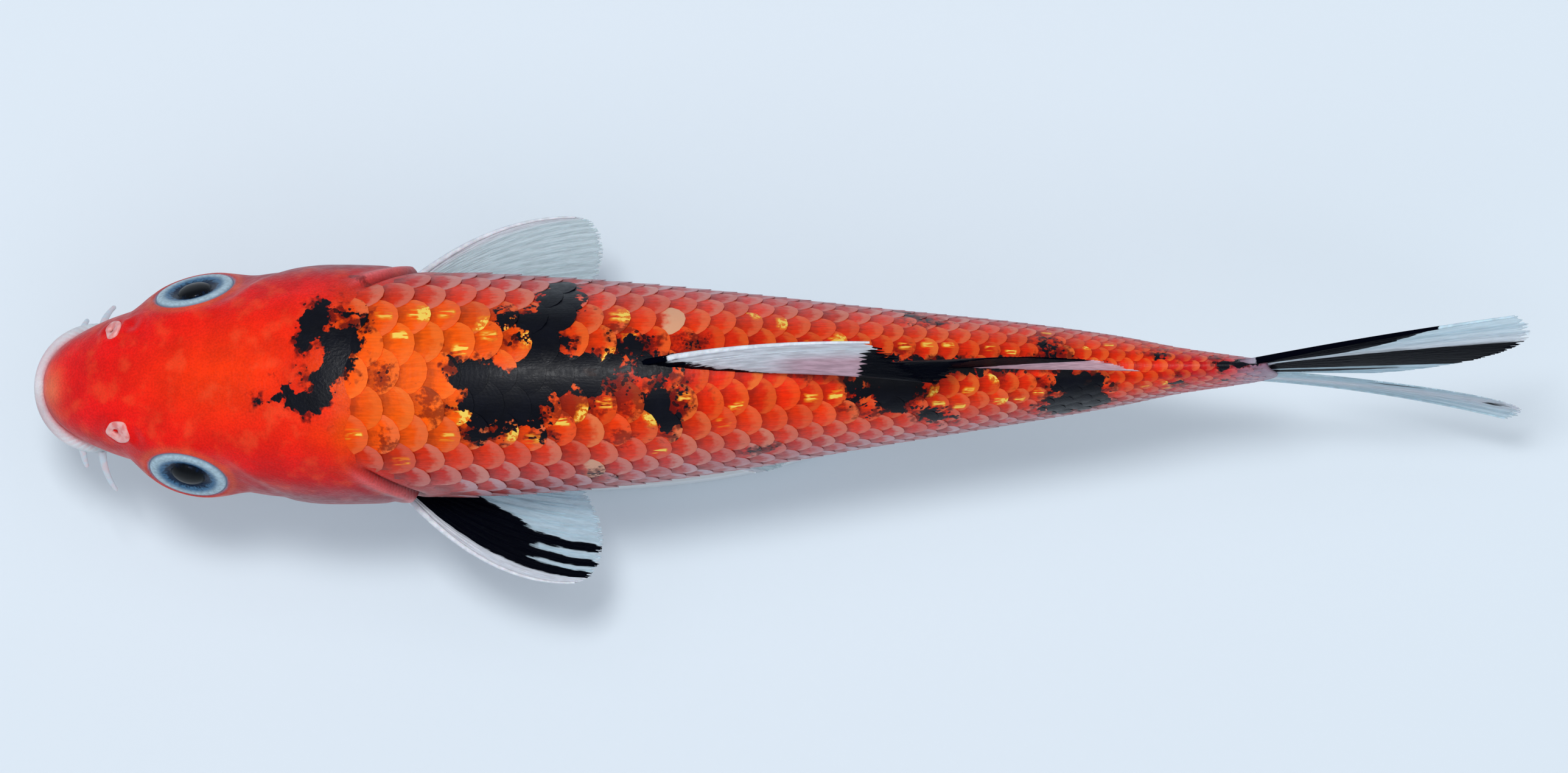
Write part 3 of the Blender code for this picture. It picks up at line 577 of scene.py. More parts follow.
# %% The node group that lays the black over a colour
def ink_group():
    takes = {"Tone": "Color", "Depth": "Float", "Russet": "Float"}
    w, given, taken = new_tree("Black marks", "Shader", takes, {"Tone": "Color", "Black": "Float"})
    where, depth = w.place(), given["Depth"]
    shore = w.span(w.noise(1.5, where, 2.5), 0.32, 0.68, -0.55, 0.55)
    grain = w.vary(0.4, where, -0.2, 0.2)
    black = w.span(w.plus(depth, shore, grain), -0.12, 0.14)
    drift = w.plus(depth, w.span(w.noise(2.6, where, 2.0), 0.36, 0.64, -1.9, 1.0))
    cells = w.add("ShaderNodeTexVoronoi", {"Scale": 1 / (0.62 * MM), "Vector": where, "Randomness": 1.0})
    crowd = w.span(w.noise(1.2, where, 2.0), 0.44, 0.62, 0.2, 1.0)
    size = w.times(w.span(drift, -2.0, 0.4, 0.0, 0.66), crowd)
    dots = w.span(w.sum("SUBTRACT", size, cells.outputs["Distance"]), -0.02, 0.1)
    haze = w.span(w.plus(drift, w.vary(0.7, where, -1.1, 1.1, 4.0)), -1.5, 1.0, 0.0, 0.9)
    patch = w.plus(given["Russet"], w.plus(shore, w.times(grain, 2.0)))
    haze = w.sum("MAXIMUM", haze, w.span(patch, -0.5, 0.6, 0.0, 0.72))
    brown = w.blend(haze, given["Tone"], paint(100, 6, 4))
    brown = w.blend(w.times(dots, 0.92), brown, paint(34, 5, 10))
    sheen = w.blend(w.noise(2.0, where), paint(2, 3, 9), paint(10, 13, 26))
    w.feed(taken["Tone"], w.blend(black, brown, sheen))
    w.feed(taken["Black"], black)
    return w.tree


BLACK_MARKS = ink_group()


def with_marks(finish, tone):
    """tone with the black marks over it, and the mask of the black."""
    group = finish.add("ShaderNodeGroup", node_tree=BLACK_MARKS)
    finish.feed(group.inputs["Tone"], tone)
    finish.feed(group.inputs["Depth"], finish.attribute("ink"))
    finish.feed(group.inputs["Russet"], finish.attribute("russet"))
    return group.outputs["Tone"], group.outputs["Black"]


tell(BLACK_MARKS)


# %% [markdown]
# ## The skin's finish
# Bare koi skin is satin and a little see-through, with cloudy patches and grains of pigment a tenth of a
# millimetre wide. Light enters it and comes out redder, which a little subsurface scattering gives.

# %% The skin's material
def skin_finish():
    f = Finish("koi_skin", Roughness=0.36, Specular_IOR_Level=0.16)
    f.give("Subsurface Weight", 0.12)
    f.give("Subsurface Scale", 0.6 * MM)
    f.give("Subsurface Radius", (1.0, 0.3, 0.15))
    where = f.place()
    clouds = f.span(f.noise(4.6, where, 3.0), 0.34, 0.68, 0.88, 1.1)
    calm = f.span(f.attribute("lip"), 0, 1, 1.0, 0.25)  # the lips have less pigment
    pigment = f.times(f.span(f.noise(0.24, where, 2.0), 0.3, 0.72, 0.07, -0.14), calm)
    tone = f.scaled(f.scaled(f.attribute("tone", "Color"), clouds), f.plus(pigment, 1.0))
    warm = f.times(f.span(f.noise(3.0, where, 4.0), 0.5, 0.7), f.attribute("warmth"))
    tone = f.blend(f.times(warm, 0.3), tone, paint(255, 96, 50))
    tone, _ = with_marks(f, tone)
    f.give("Base Color", tone)
    f.give("Roughness", f.vary(1.1, where, 0.32, 0.44))
    f.bump(f.plus(f.noise(0.35, where, 4.0), f.times(f.noise(1.6, where), 1.2)), 0.05)
    return f.material


SKIN = skin_finish()
tell(SKIN)

# %% [markdown]
# ## The eyes' seat, the lips and the gill's edge
# The bare body has none of the folds that make a face. Each is a small rule that moves the skin: round the
# eye it rises to the rim of a tilted disc and dips inside it; along the mouth it swells into two lips with
# a crease between; behind the gill cover it folds in. Rules keep it one skin without seams.

# %% Rules that move the skin: eyes and nostrils
EYE_CENTRE, EYE_STAGGER = (19.3, 11.0, 3.6), 0.35
EYE_RADIUS = 4.9
EYE_FORWARD, EYE_UP = math.radians(14), math.radians(24)


def eye_frame(side):
    """Centre of one eye's rim, and three axes: outward, towards the nose, and up along the rim."""
    centre = np.array((EYE_CENTRE[0] + side * EYE_STAGGER, side * EYE_CENTRE[1], EYE_CENTRE[2]))
    lean = math.cos(EYE_UP)
    outward = np.array((-math.sin(EYE_FORWARD) * lean, side * math.cos(EYE_FORWARD) * lean, math.sin(EYE_UP)))
    up = unit(np.array((0.0, 0.0, 1.0)) - outward * outward[2])
    return centre, outward, np.cross(up, outward) * side, up


def seat_eye(points, side):
    """Lifts the skin round one eye to the rim of its disc, and sinks it inside the rim."""
    centre, outward, ahead, up = eye_frame(side)
    local = points - centre
    height = local @ outward
    away = np.hypot(local @ ahead, local @ up)
    near = 1 - smooth(away, EYE_RADIUS + 0.5, EYE_RADIUS + 3.9)
    pull = near * (points[..., 1] * side > 2) * (np.abs(height) < 7)
    rim = -0.12 * smooth(away, EYE_RADIUS + 0.4, EYE_RADIUS + 2.5) + 0.16 * hump(away, EYE_RADIUS + 0.35, 0.4)
    wanted = rim - 1.0 * (1 - smooth(away, EYE_RADIUS - 0.7, EYE_RADIUS - 0.1))
    return points + outward * (pull * (wanted - height))[..., None]


NOSTRIL_SEATS = {1: (9.9, math.radians(45)), -1: (10.6, math.radians(41))}  # station and turn, by side


def nostril_rise(points):
    """A pit on each side, where the nostril's ring stands, and a small one behind it."""
    rise = np.zeros(points.shape[:-1])
    for side, (station, turn) in NOSTRIL_SEATS.items():
        for ahead, width, depth in ((0.0, 0.75, 0.7), (2.4, 0.5, 0.25)):
            pit = skin_point(np.array(station + ahead), np.array(side * turn))
            away = np.linalg.norm(points - pit, axis=-1)
            rise += 0.14 * hump(away, width + 0.9, 0.5) - depth * hump(away, 0, width)
    return rise


print("the eyes' rims are", 2 * EYE_CENTRE[1], "mm apart at their middles and", 2 * EYE_RADIUS, "mm wide")


# %% [markdown]
# The lips are tubes that the skin is lifted onto: from each point of the bare surface, a ray square to it
# is followed out to the tube, and the skin goes where the ray leaves it. A soft maximum keeps the valley
# between tube and snout round.

# %% Rules that move the skin: lips and gills
LIP_FRONT, LIP_RADIUS, MOUTH_LENGTH, MOUTH_HALF_WIDTH = 0.65, 0.95, 7.7, 7.35
LIP_LEVEL_FRONT, LIP_LEVEL_CORNER = -4.7, -6.5


def mouth_line(share, back=0.0, down=0.0, inward=0.0):
    """The upper lip's middle line from the left corner (-1) to the right (1), or one beside it."""
    angle = np.asarray(share, float) * math.pi / 2
    bend = 1 - np.cos(angle)
    return np.stack(
        (
            LIP_FRONT + MOUTH_LENGTH * bend + back,
            (MOUTH_HALF_WIDTH - inward) * np.sin(angle),
            LIP_LEVEL_FRONT + (LIP_LEVEL_CORNER - LIP_LEVEL_FRONT) * bend - down,
        ),
        axis=-1,
    )


def lift_onto(points, normals, line, radius, softness=0.8):
    """Moves points out along their normals onto a tube round a line, with a soft valley beside it."""
    best = np.full(len(points), -9.0)
    for middle, size in zip(line, radius):
        local = middle - points
        along = (local * normals).sum(1)
        beside = np.sqrt(np.maximum((local * local).sum(1) - along**2, 0))
        lift = np.minimum(along, 0) + np.maximum(along, 0) * smooth(beside / size, 1.0, 0.6)
        inside = lift + np.sqrt(np.maximum(size**2 - beside**2, 0))
        best = np.maximum(best, np.where(beside < size, inside, np.minimum(along, 0) - (beside - size)))
    overlap = np.maximum(softness - np.abs(best), 0) / softness
    return points + normals * np.maximum(np.maximum(best, 0) + overlap**2 * softness / 4, 0)[:, None]


def gill_rise(station, turn):
    """The swelling of the gill cover, the soft fold at its rear edge and the slit behind it."""
    behind = station - head_end(turn)
    front = np.clip(-behind / 16.5, 0, 1)
    swell = 0.34 * (0.45 + 2.0 * front) * (1 - front) ** 0.8 * (behind < 0)
    fold = 0.1 * hump(behind, -0.7, 0.6) - 0.16 * hump(behind, -2.2, 0.8)
    slit = -1.05 * hump(behind, 0.75, 0.5)
    groove = -0.16 * hump(behind, -15.5, 1.1)
    return (swell + fold + slit + groove) * gill_zone(turn)


print("the mouth is", 2 * MOUTH_HALF_WIDTH, "mm wide")


# %% [markdown]
# ## How a piece is made
# Every part of the model becomes a mesh in the stand's frame with a finish of its own, is fixed to the body
# and says which solids it stands for. Numbers and colours that its finish needs are kept with its points.

# %% Helpers that make pieces
def mesh_of(name, points, faces, sharp=None):
    """A smooth-shaded mesh in the stand's frame from points in the fish's frame."""
    mesh = bpy.data.meshes.new(name)
    mesh.from_pydata(placed(points).tolist(), [], faces)
    mesh.shade_smooth()
    if sharp:
        mesh.set_sharp_from_angle(angle=math.radians(sharp))
    return mesh


def write(mesh, name, values):
    """Stores one number or one colour for each point."""
    values = np.asarray(values, np.float32)
    if values.ndim == 2:
        opaque = np.ones((len(values), 1), np.float32)
        colours = np.hstack((values, opaque))
        mesh.attributes.new(name, "FLOAT_COLOR", "POINT").data.foreach_set("color", colours.ravel())
    else:
        mesh.attributes.new(name, "FLOAT", "POINT").data.foreach_set("value", values)


def piece(name, mesh, finish, replaced=()):
    """An object of the model: its finish and the solids it stands for."""
    obj = bpy.data.objects.new(name, mesh)
    bpy.context.scene.collection.objects.link(obj)
    if finish:
        mesh.materials.clear()
        mesh.materials.append(finish)
    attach(obj, BODY)
    if replaced:
        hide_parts(*replaced)
    triangles = sum(len(face.vertices) - 2 for face in mesh.polygons)
    print(f"{name}: {triangles} triangles")
    return obj


def tube_faces(rings, columns, start, end):
    """Faces of a net that is closed round its columns, with a fan to one point at each end."""
    faces = []
    for i in range(rings - 1):
        for j in range(columns):
            k = (j + 1) % columns
            faces.append((i * columns + j, (i + 1) * columns + j, (i + 1) * columns + k, i * columns + k))
    last = (rings - 1) * columns
    for j in range(columns):
        k = (j + 1) % columns
        faces.append((start, j, k))
        faces.append((end, last + k, last + j))
    return faces


# %% [markdown]
# ## The skin
# One net of rings and columns covers the fish from the snout's pole to the sheath over the tail's rays. The
# rings lie close together on the face, where there is form, and wide apart under the scales. Behind the head
# the skin lies deeper by the thickness of the coat, so that the scales end at the body's true outline.

# %% The skin's net
COLUMNS = 272
SHEATH_START = 140
PITCHES = curve_through(  # the distance from scale to scale in a row, by station
    (36, 45, 60, 85, 105, 120, 135, 150), (3.7, 3.65, 3.4, 3.05, 2.65, 2.25, 1.95, 1.8)
)
TYPICAL_PITCH = 3.4


def coat_depth(station):
    """How deep the skin lies under the outline, in step with the size of the scales."""
    return 0.36 * PITCHES(np.asarray(station, float)) / TYPICAL_PITCH


def ring_stations():
    snout = NOSE + 11 * (np.arange(1, 125) / 124) ** 1.7
    face, cheek = np.arange(12.25, 28, 0.27), np.arange(28.2, 48, 0.34)
    trunk, sheath = np.arange(49, SHEATH_START, 1.3), np.linspace(140.5, SHEATH_END, 22)
    return np.concatenate((snout, face, cheek, trunk, sheath))


def skin_net():
    """Stations, shares and turns of the net, its points and the directions square to them."""
    shares = np.arange(COLUMNS) * 2 / COLUMNS
    shares = np.where(shares >= 1, shares - 2, shares)
    station, share = np.meshgrid(ring_stations(), shares, indexing="ij")
    turn = turn_at(station, share)
    # The sheath is longest at mid height.
    stretch = 1 - 0.2 * np.cos(turn) ** 2 * smooth(station, SHEATH_START, SHEATH_END)
    past = station - SHEATH_START
    station = SHEATH_START + past * np.where(past > 0, stretch, 1)
    flat = station.ravel(), share.ravel(), turn.ravel()
    return flat, bare_point(flat[0], flat[2]), bare_normal(flat[0], flat[2])


(skin_station, skin_share, skin_turn), points, normals = skin_net()
print("the skin's net:", len(ring_stations()), "rings of", COLUMNS, "points")

# %% [markdown]
# Now the rules move the net, in the order in which the forms lie over one another: gill cover and nostrils
# first, then the two lips and the crease between them, last the rims round the eyes.

# %% Shape the skin
def distance_to(points, line, far=9.0):
    """The distance from each point to the nearest point of a line, up to far."""
    nearest = np.full(len(points), far)
    for middle in line:
        nearest = np.minimum(nearest, np.linalg.norm(points - middle, axis=1))
    return nearest


behind = skin_station - head_end(skin_turn)
zone = gill_zone(skin_turn)
nape_shelf = (1 - zone) * smooth(behind, -3.0, 3.2)
sunk = zone * smooth(behind, 0.1, 1.6) + nape_shelf
rise = gill_rise(skin_station, skin_turn) - coat_depth(skin_station) * sunk
face = skin_station < 16
rise[face] += nostril_rise(points[face])
mouth = np.linspace(-1, 1, 161)
to_crease = distance_to(points[face], mouth_line(mouth, 0.55, 1.15, 0.35))
points = points + normals * rise[:, None]
upper_lip = mouth_line(mouth)
lower_lip = mouth_line(mouth * 0.94, 1.2, 1.95, 0.6)
thin = LIP_RADIUS * (1 - 0.5 * np.abs(mouth) ** 4)
points[face] = lift_onto(points[face], normals[face], upper_lip, thin)
points[face] = lift_onto(points[face], normals[face], lower_lip, thin * 0.85)
points[face] -= normals[face] * (0.55 * hump(to_crease, 0.3, 0.42))[:, None]
for side, _ in SIDES:
    points = seat_eye(points, side)
print("the skin runs from station", round(float(points[:, 0].min()), 1), "to", SHEATH_END)

# %% [markdown]
# The net's numbers become a mesh, and each point keeps what the finish needs: its ground colour, its depth
# inside a black mark and how much the warm clouds show. The lips are pale, the fold behind the gill cover is
# rosy, the slit behind that fold is darkened with painted shade, and a lighter ring lies round each eye.

# %% Colour the skin and make it a piece
tone = ground_tone(skin_station, skin_share)
near_lip = np.full(len(points), 9.0)
fine = np.linspace(-1, 1, 301)
both_lips = np.concatenate((mouth_line(fine, -0.05, 0.12, -0.05), mouth_line(fine * 0.94, 1.2, 1.95, 0.6)))
near_lip[face] = distance_to(points[face], both_lips)
tone = lay(tone, SNOUT_SPOT, hump(np.linalg.norm(points - (1.9, -0.5, -0.6), axis=1), 0, 2.2) * 0.8)
tone = lay(tone, paint(224, 84, 80), hump(near_lip, LIP_RADIUS + 0.35, 0.4) * 0.5)
lip = 1 - smooth(near_lip, LIP_RADIUS - 0.3, LIP_RADIUS + 0.5)
tone = lay(tone, LIP_PALE, lip)
for side, _ in SIDES:
    centre, outward, _, _ = eye_frame(side)
    local = points - centre
    ring = np.linalg.norm(local - (local @ outward)[:, None] * outward, axis=1)
    same_side = (points[:, 1] * side > 3) & (np.abs(local @ outward) < 5)
    tone = lay(tone, paint(224, 96, 60), hump(ring, EYE_RADIUS + 0.7, 0.45) * same_side * 0.55)
    under_eye = 1 - smooth(ring, EYE_RADIUS - 0.1, EYE_RADIUS + 0.25)
    tone = lay(tone, paint(120, 150, 175), under_eye * same_side)
tone = lay(tone, paint(226, 120, 124), hump(behind, -0.45, 0.6) * zone * 0.75)
# Painted shade: a dark band lies in the slit behind the gill cover.
tone = lay(tone, paint(70, 8, 16), hump(behind, 0.8, 0.5) * zone * 0.85)
net_rows = len(skin_station) // COLUMNS
nose_pole = points[:COLUMNS].mean(axis=0)
tail_pole = (SHEATH_END - 0.3, SWAY, 0.0)
faces = tube_faces(net_rows, COLUMNS, len(points), len(points) + 1)
skin_mesh = mesh_of("skin", np.vstack((points, nose_pole, tail_pole)), faces)
write(skin_mesh, "lip", np.append(lip, (0, 0)))
write(skin_mesh, "tone", np.vstack((tone, tone[0], tone[-1])))
skin_girth = skin_share * half_girth(skin_station)
for name, strokes in MARKS.items():
    depth = stroke_depth(strokes, skin_station, skin_girth)
    write(skin_mesh, name, np.append(depth, (-9, -9)))
warmth = (1 - smooth(behind, -2, 3)) * (1 - smooth(np.abs(skin_share), 0.3, 0.5)) * smooth(near_lip, 1.2, 3)
write(skin_mesh, "warmth", np.append(warmth, (0, 0)))
HEAD_SOLIDS = ("head", "upper_lip", "lower_jaw", "gill_cover_left", "gill_cover_right")
piece("skin", skin_mesh, SKIN, (*HEAD_SOLIDS, "trunk_front", "trunk_rear", "tail_stalk"))

# %% [markdown]
# ## One scale
# A carp's scale is a thin plate. Its front half is buried under the scales before it and its rounded rear
# edge stands free. The plate here has only a few dozen faces: a small grid bent into a D, a thickness, and
# names for where each point lies, so that the finish can draw growth rings and a pale rim. Geometry Nodes
# sets a copy at every place of the lattice and turns it a little, as no row on a real fish is perfect.

# %% The node tree that sets the scales
def store(w, geometry, name, value, **where):
    """Keeps a number for each point of a geometry under a name."""
    sockets = {"Geometry": geometry, "Name": name, **where}
    node = w.add("GeometryNodeStoreNamedAttribute", sockets, data_type="FLOAT", domain="POINT")
    w.feed(node.inputs["Value"], value)
    return node.outputs[0]


def dress(w, geometry, given, taken):
    """Ends a tree: real copies in their finish."""
    real = w.add("GeometryNodeRealizeInstances", {"Geometry": geometry}).outputs[0]
    dressed = w.add("GeometryNodeSetMaterial", {"Geometry": real, "Material": given["Finish"]})
    w.feed(taken["Geometry"], dressed.outputs[0])
    return w.tree


def scale_tree():
    takes = {"Geometry": "Geometry", "Thickness": "Float", "Tilt": "Float", "Finish": "Material"}
    w, given, taken = new_tree("Scale coat", "Geometry", takes, {"Geometry": "Geometry"})
    grid = w.add("GeometryNodeMeshGrid", {"Size X": 1.0, "Size Y": 2.0, "Vertices X": 4, "Vertices Y": 9})
    at = w.add("ShaderNodeSeparateXYZ", {0: w.add("GeometryNodeInputPosition").outputs[0]}).outputs
    back = w.plus(at["X"], 0.5)
    flat = store(w, store(w, grid.outputs["Mesh"], "tip", back), "fan", at["Y"])
    turn = w.times(at["Y"], math.pi / 2)
    reach = w.plus(w.times(w.sum("COSINE", turn), 0.46), 0.54)
    across = w.times(w.sum("SINE", turn), 0.5)
    shape = w.vector(w.times(back, reach), across, w.times(across, across, -0.5))
    plate = w.add("GeometryNodeSetPosition", {"Geometry": flat, "Position": shape}).outputs[0]
    down = {"Offset": w.vector(z=w.times(given["Thickness"], -1.0)), "Offset Scale": 1.0, "Individual": False}
    under = w.add("GeometryNodeExtrudeMesh", {"Mesh": plate, **down}).outputs
    marked = store(w, under["Mesh"], "under", 1.0, Selection=under["Top"])
    both = w.add("GeometryNodeJoinGeometry")
    for part in (plate, w.add("GeometryNodeFlipFaces", {"Mesh": marked}).outputs[0]):
        w.tree.links.new(part, both.inputs[0])
    whole = w.add("GeometryNodeMergeByDistance", {"Geometry": both.outputs[0], "Distance": 1e-5}).outputs[0]
    spread = w.add("GeometryNodeInstanceOnPoints", {"Points": given["Geometry"], "Instance": whole})
    w.feed(spread.inputs["Rotation"], w.vector(y=given["Tilt"], z=w.named("skew")))
    w.feed(spread.inputs["Scale"], w.vector(w.named("length"), w.named("width"), 1.0))
    return dress(w, spread.outputs[0], given, taken)


def grown(name, mesh, tree, **inputs):
    """The plain mesh that a node tree makes from a start mesh."""
    obj = bpy.data.objects.new(name, mesh)
    bpy.context.scene.collection.objects.link(obj)
    recipe = obj.modifiers.new(name, "NODES")
    recipe.node_group = tree
    for item in tree.interface.items_tree:
        if item.in_out == "INPUT" and item.name in inputs:
            recipe[item.identifier] = inputs[item.name]
    made = bpy.data.meshes.new_from_object(obj.evaluated_get(bpy.context.evaluated_depsgraph_get()))
    bpy.data.objects.remove(obj)
    made.name = name
    return made


SCALE_TREE = scale_tree()
tell(SCALE_TREE)

# %% [markdown]
# ## The scale's finish
# Each scale shows a full-coloured heart, darkened by painted shade towards its front where the scale before
# it overlaps, a paler rim and fine growth rings, and on the back some carry gold streaks or crescents,
# painted as glints. Their hue wavers from scale to scale. The black runs over skin and scales alike.

# %% The scales' material
def painted_gold_glints(f, fan, tip, where):
    """Painted gold glints on some scales: thin streaks towards the rear edge, or a crescent along one side of
    it.
    """
    side, chance = f.attribute("glint_side"), f.attribute("chance")
    threads = f.lumps(2.6, f.vector(f.times(fan, 3.6), tip, chance), 2.0)
    beside = f.sum("ABSOLUTE", f.sum("SUBTRACT", fan, f.times(side, 0.25)))
    streak = f.times(f.span(beside, 0.05, 0.26, 1.0, 0.0), f.span(threads, 0.42, 0.6))
    length = f.times(f.span(tip, 0.5, 0.66), f.span(tip, 0.86, 0.93, 1.0, 0.0))
    streak = f.times(f.times(streak, length), f.attribute("streak"))
    beside = f.sum("ABSOLUTE", f.sum("SUBTRACT", fan, f.times(side, 0.5)))
    edge = f.times(f.span(tip, 0.7, 0.86), f.span(beside, 0.12, 0.42, 1.0, 0.0))
    edge = f.times(edge, f.span(f.noise(0.45, where), 0.36, 0.6, 0.3, 1.1))
    return f.plus(streak, f.times(edge, f.attribute("crescent")))


def scale_finish():
    f = Finish("koi_scales", Specular_IOR_Level=0.14)
    f.give("Subsurface Weight", 0.05)
    f.give("Subsurface Scale", 0.5 * MM)
    f.give("Subsurface Radius", (1.0, 0.35, 0.2))
    where, tip, fan = f.place(), f.attribute("tip"), f.attribute("fan")
    rough_tip = f.plus(tip, f.vary(0.7, where, -0.05, 0.05))
    heart = f.scaled(f.attribute("tone", "Color"), f.attribute("waver"))
    # Painted shade: each scale darkens towards its front, where the scale before it overlaps.
    heart = f.scaled(heart, f.span(rough_tip, 0.4, 0.66, 0.62, 1.05))
    rays = f.lumps(3.0, f.vector(f.times(fan, 5.0), tip, f.attribute("chance")), 2.0)
    heart = f.scaled(heart, f.span(rays, 0.3, 0.7, 0.88, 1.1))
    cream = f.span(f.attribute("paleness"), 2.0, 2.3)
    wide_tip = f.plus(rough_tip, f.times(cream, 0.2))
    rim = f.times(f.span(wide_tip, 0.68, 0.9), f.attribute("rim_share"))
    rim_colour = f.blend(f.times(cream, 0.8), f.attribute("rim_tone", "Color"), paint(226, 178, 142))
    tone, black = with_marks(f, f.blend(rim, heart, rim_colour))
    # Painted glint: bright orange and yellow gold stands for light sparkling off some scales, kept off the
    # black.
    gold = f.times(painted_gold_glints(f, fan, tip, where), f.span(black, 0.2, 0.8, 1.0, 0.05))
    tone = f.blend(f.span(gold, 0.02, 0.5, 0.0, 0.85), tone, paint(246, 132, 24))
    tone = f.blend(f.span(gold, 0.45, 0.95), tone, paint(255, 214, 92))
    f.give("Base Color", tone)
    f.give("Roughness", f.vary(0.9, where, 0.32, 0.44))
    growth = f.sum("SINE", f.times(tip, 60.0))
    f.bump(f.plus(f.times(growth, 0.05), f.times(rays, 0.5), f.times(f.noise(0.3, where), 0.5)), 0.04)
    return f.material


SCALES = scale_finish()
tell(SCALES)

# %% [markdown]
# ## The lattice
# Scales stand in rows along the body, each row set half a scale behind its neighbours. The lattice is laid
# out flat: station one way, share of girth the other. Rows keep their number from shoulder to tail, so the
# scales narrow with the body, and they shorten in step.

# %% Lay out the lattice
ROWS = 13  # from the ridge of the back to the keel of the belly, on each side


def lattice(side):
    """Roots of one side's scales: station, share, and size along the body."""
    roots = []
    first, last = 31.0, 146.5
    for row in range(ROWS + 1):
        if row in (0, ROWS) and side < 0:
            continue  # the ridge row and the keel row are grown with the right side
        station = first + 0.5 * (row % 2) * float(PITCHES(first))
        while station < last:
            pitch = float(PITCHES(station))
            roots.append((station, side * row / ROWS, pitch))
            station += pitch
    return np.array(roots)


print("places in the lattice:", len(lattice(1)), "on the right,", len(lattice(-1)), "on the left")

# %% [markdown]
# A few scales stand out on a real koi: some carry a gold streak, some a gold edge, one or two are cream. The
# gold is a painted glint. Each is named by a place on the unrolled skin, and the scale nearest to it is the
# one that is meant.

# %% Where gold glints and cream show
GLINT_STREAKS = (  # station and girth, in mm
    *((44.5, 7.7), (48.6, 7.0), (51.5, 7.3), (51.3, 5.3), (55.7, 6.2), (54.1, 4.0), (72.7, 4.6)),
    (68.7, -1.9),
    *((48.4, -6.4), (51.2, -3.4), (45.9, -10.1), (50.1, -10.3), (60.6, -8.8), (78.2, -2.1), (86.3, -3.1)),
    *((92.8, -2.7), (96.0, -2.8), (85.0, -6.2), (93.5, 4.0), (97.5, 3.9), (104.0, 3.9), (107.8, 2.8)),
    *((110.5, 3.8), (114.6, 1.9), (118.8, 2.7), (112.1, -2.9), (115.8, -3.8), (119.7, -4.2), (121.8, -3.2)),
    *((124.3, 11.3), (130.6, 2.8)),
)
GLINT_CRESCENTS = (
    *((45.4, 9.1), (56.2, 8.2), (59.2, 4.2), (69.8, 5.3), (67.0, -5.3), (52.6, -6.0), (56.2, -6.8)),
    *((75.0, -6.4), (108.5, -2.8)),
)
CREAM = ((75.7, 6.6), (68.9, -14.4))
print("scales with gold:", len(GLINT_STREAKS + GLINT_CRESCENTS), "and cream:", len(CREAM))


def on_scales(places, station, girth):
    """Which scale lies nearest to each place, as a mask over all the scales."""
    mask = np.zeros(len(station), bool)
    for place_station, place_girth in places:
        away = np.hypot(station - place_station, girth - place_girth)
        mask[away.argmin()] |= away.min() < 2.2
    return mask


# %% [markdown]
# The coat is grown flat, each scale tilted so that its rear edge stands free, and then wrapped round the
# fish, which bends every scale to the body. A scale takes its colour in part from the middle of what shows of
# it, so that red and black change from scale to scale, as they do on a real koi.

# %% Grow the scales
FLAT = 40.0  # how wide the flat layout draws a half girth
TILT = math.radians(3.1)
SEEN = 1.25  # pitches from a scale's root to the middle of the part that shows


def glint(chosen, odds, back, strongest, rng):
    """How strongly the painted gold glint shows: on the chosen scales, and by chance on a few more of the
    back.
    """
    lucky = (rng.uniform(0, 1, len(back)) < odds) * back
    return np.maximum(chosen, lucky) * rng.uniform(0.75, strongest, len(back))


def scale_roots(side):
    """A mesh of one point for each scale, which carries what the scale is like."""
    rng = np.random.default_rng(20 + side)
    station, share, pitch = lattice(side).T
    turn = turn_at(station, share)
    start = head_end(turn) + 1.1 * gill_zone(turn) - 4.6 * (1 - gill_zone(turn))
    kept = (station > start) & (station + 1.1 * pitch < STALK_END + 2.5 - 3.0 * np.cos(turn) ** 2)
    station, share, pitch = station[kept], share[kept], pitch[kept]
    count = len(station)
    station = station + rng.normal(0, 0.1, count)
    share = share + rng.normal(0, 0.0022, count)
    back = 1 - smooth(np.abs(share), 0.22, 0.36)
    glinting = hump(np.abs(share), 0.15, 0.1)
    seen = station + SEEN * pitch
    girth = share * half_girth(seen)
    values = {
        "length": 1.75 * pitch,
        "width": np.full(count, 1.5 * FLAT / ROWS) * rng.normal(1, 0.02, count),
        "skew": rng.normal(0, math.radians(2), count),
        "waver": np.clip(rng.normal(1, 0.09, count), 0.78, 1.2),
        "chance": rng.uniform(0, 60, count),
        "streak": glint(on_scales(GLINT_STREAKS, seen, girth), 0.1 * glinting, back, 1.15, rng),
        "crescent": glint(on_scales(GLINT_CRESCENTS, seen, girth), 0.06 * glinting, back, 1.1, rng),
        "glint_side": rng.uniform(-1, 1, count),
        "paleness": rng.uniform(0.5, 1.2, count) + 0.8 * (rng.uniform(0, 1, count) < 0.04),
        "root_station": station,
        "root_share": share,
    }
    values["paleness"] += 1.6 * on_scales(CREAM, seen, girth)
    roots = bpy.data.meshes.new("roots")
    roots.from_pydata(np.stack((station, share * FLAT, 0 * station - 0.05), -1).tolist(), [], [])
    for name, numbers in values.items():
        write(roots, name, numbers)
    return roots


coats = {}
for side, word in SIDES:
    roots = scale_roots(side)
    print(f"scales on the {word}:", len(roots.vertices))
    coats[word] = grown(f"scales_{word}", roots, SCALE_TREE, Thickness=0.1, Tilt=-TILT, Finish=SCALES)

# %% [markdown]
# Wrapping is done point by point: the flat layout's two coordinates say where on the body the point goes, and
# its height says how far out.

# %% Wrap the coat round the body
def read(mesh, name):
    """The numbers kept under a name."""
    values = np.empty(len(mesh.vertices), np.float32)
    mesh.attributes[name].data.foreach_get("value", values)
    return values.astype(float)


def points_of(mesh):
    flat = np.empty(len(mesh.vertices) * 3, np.float32)
    mesh.vertices.foreach_get("co", flat)
    return flat.reshape(-1, 3).astype(float)


def put(mesh, points):
    """Moves a mesh's points to places given in the fish's frame."""
    mesh.vertices.foreach_set("co", placed(points).ravel())
    mesh.update()


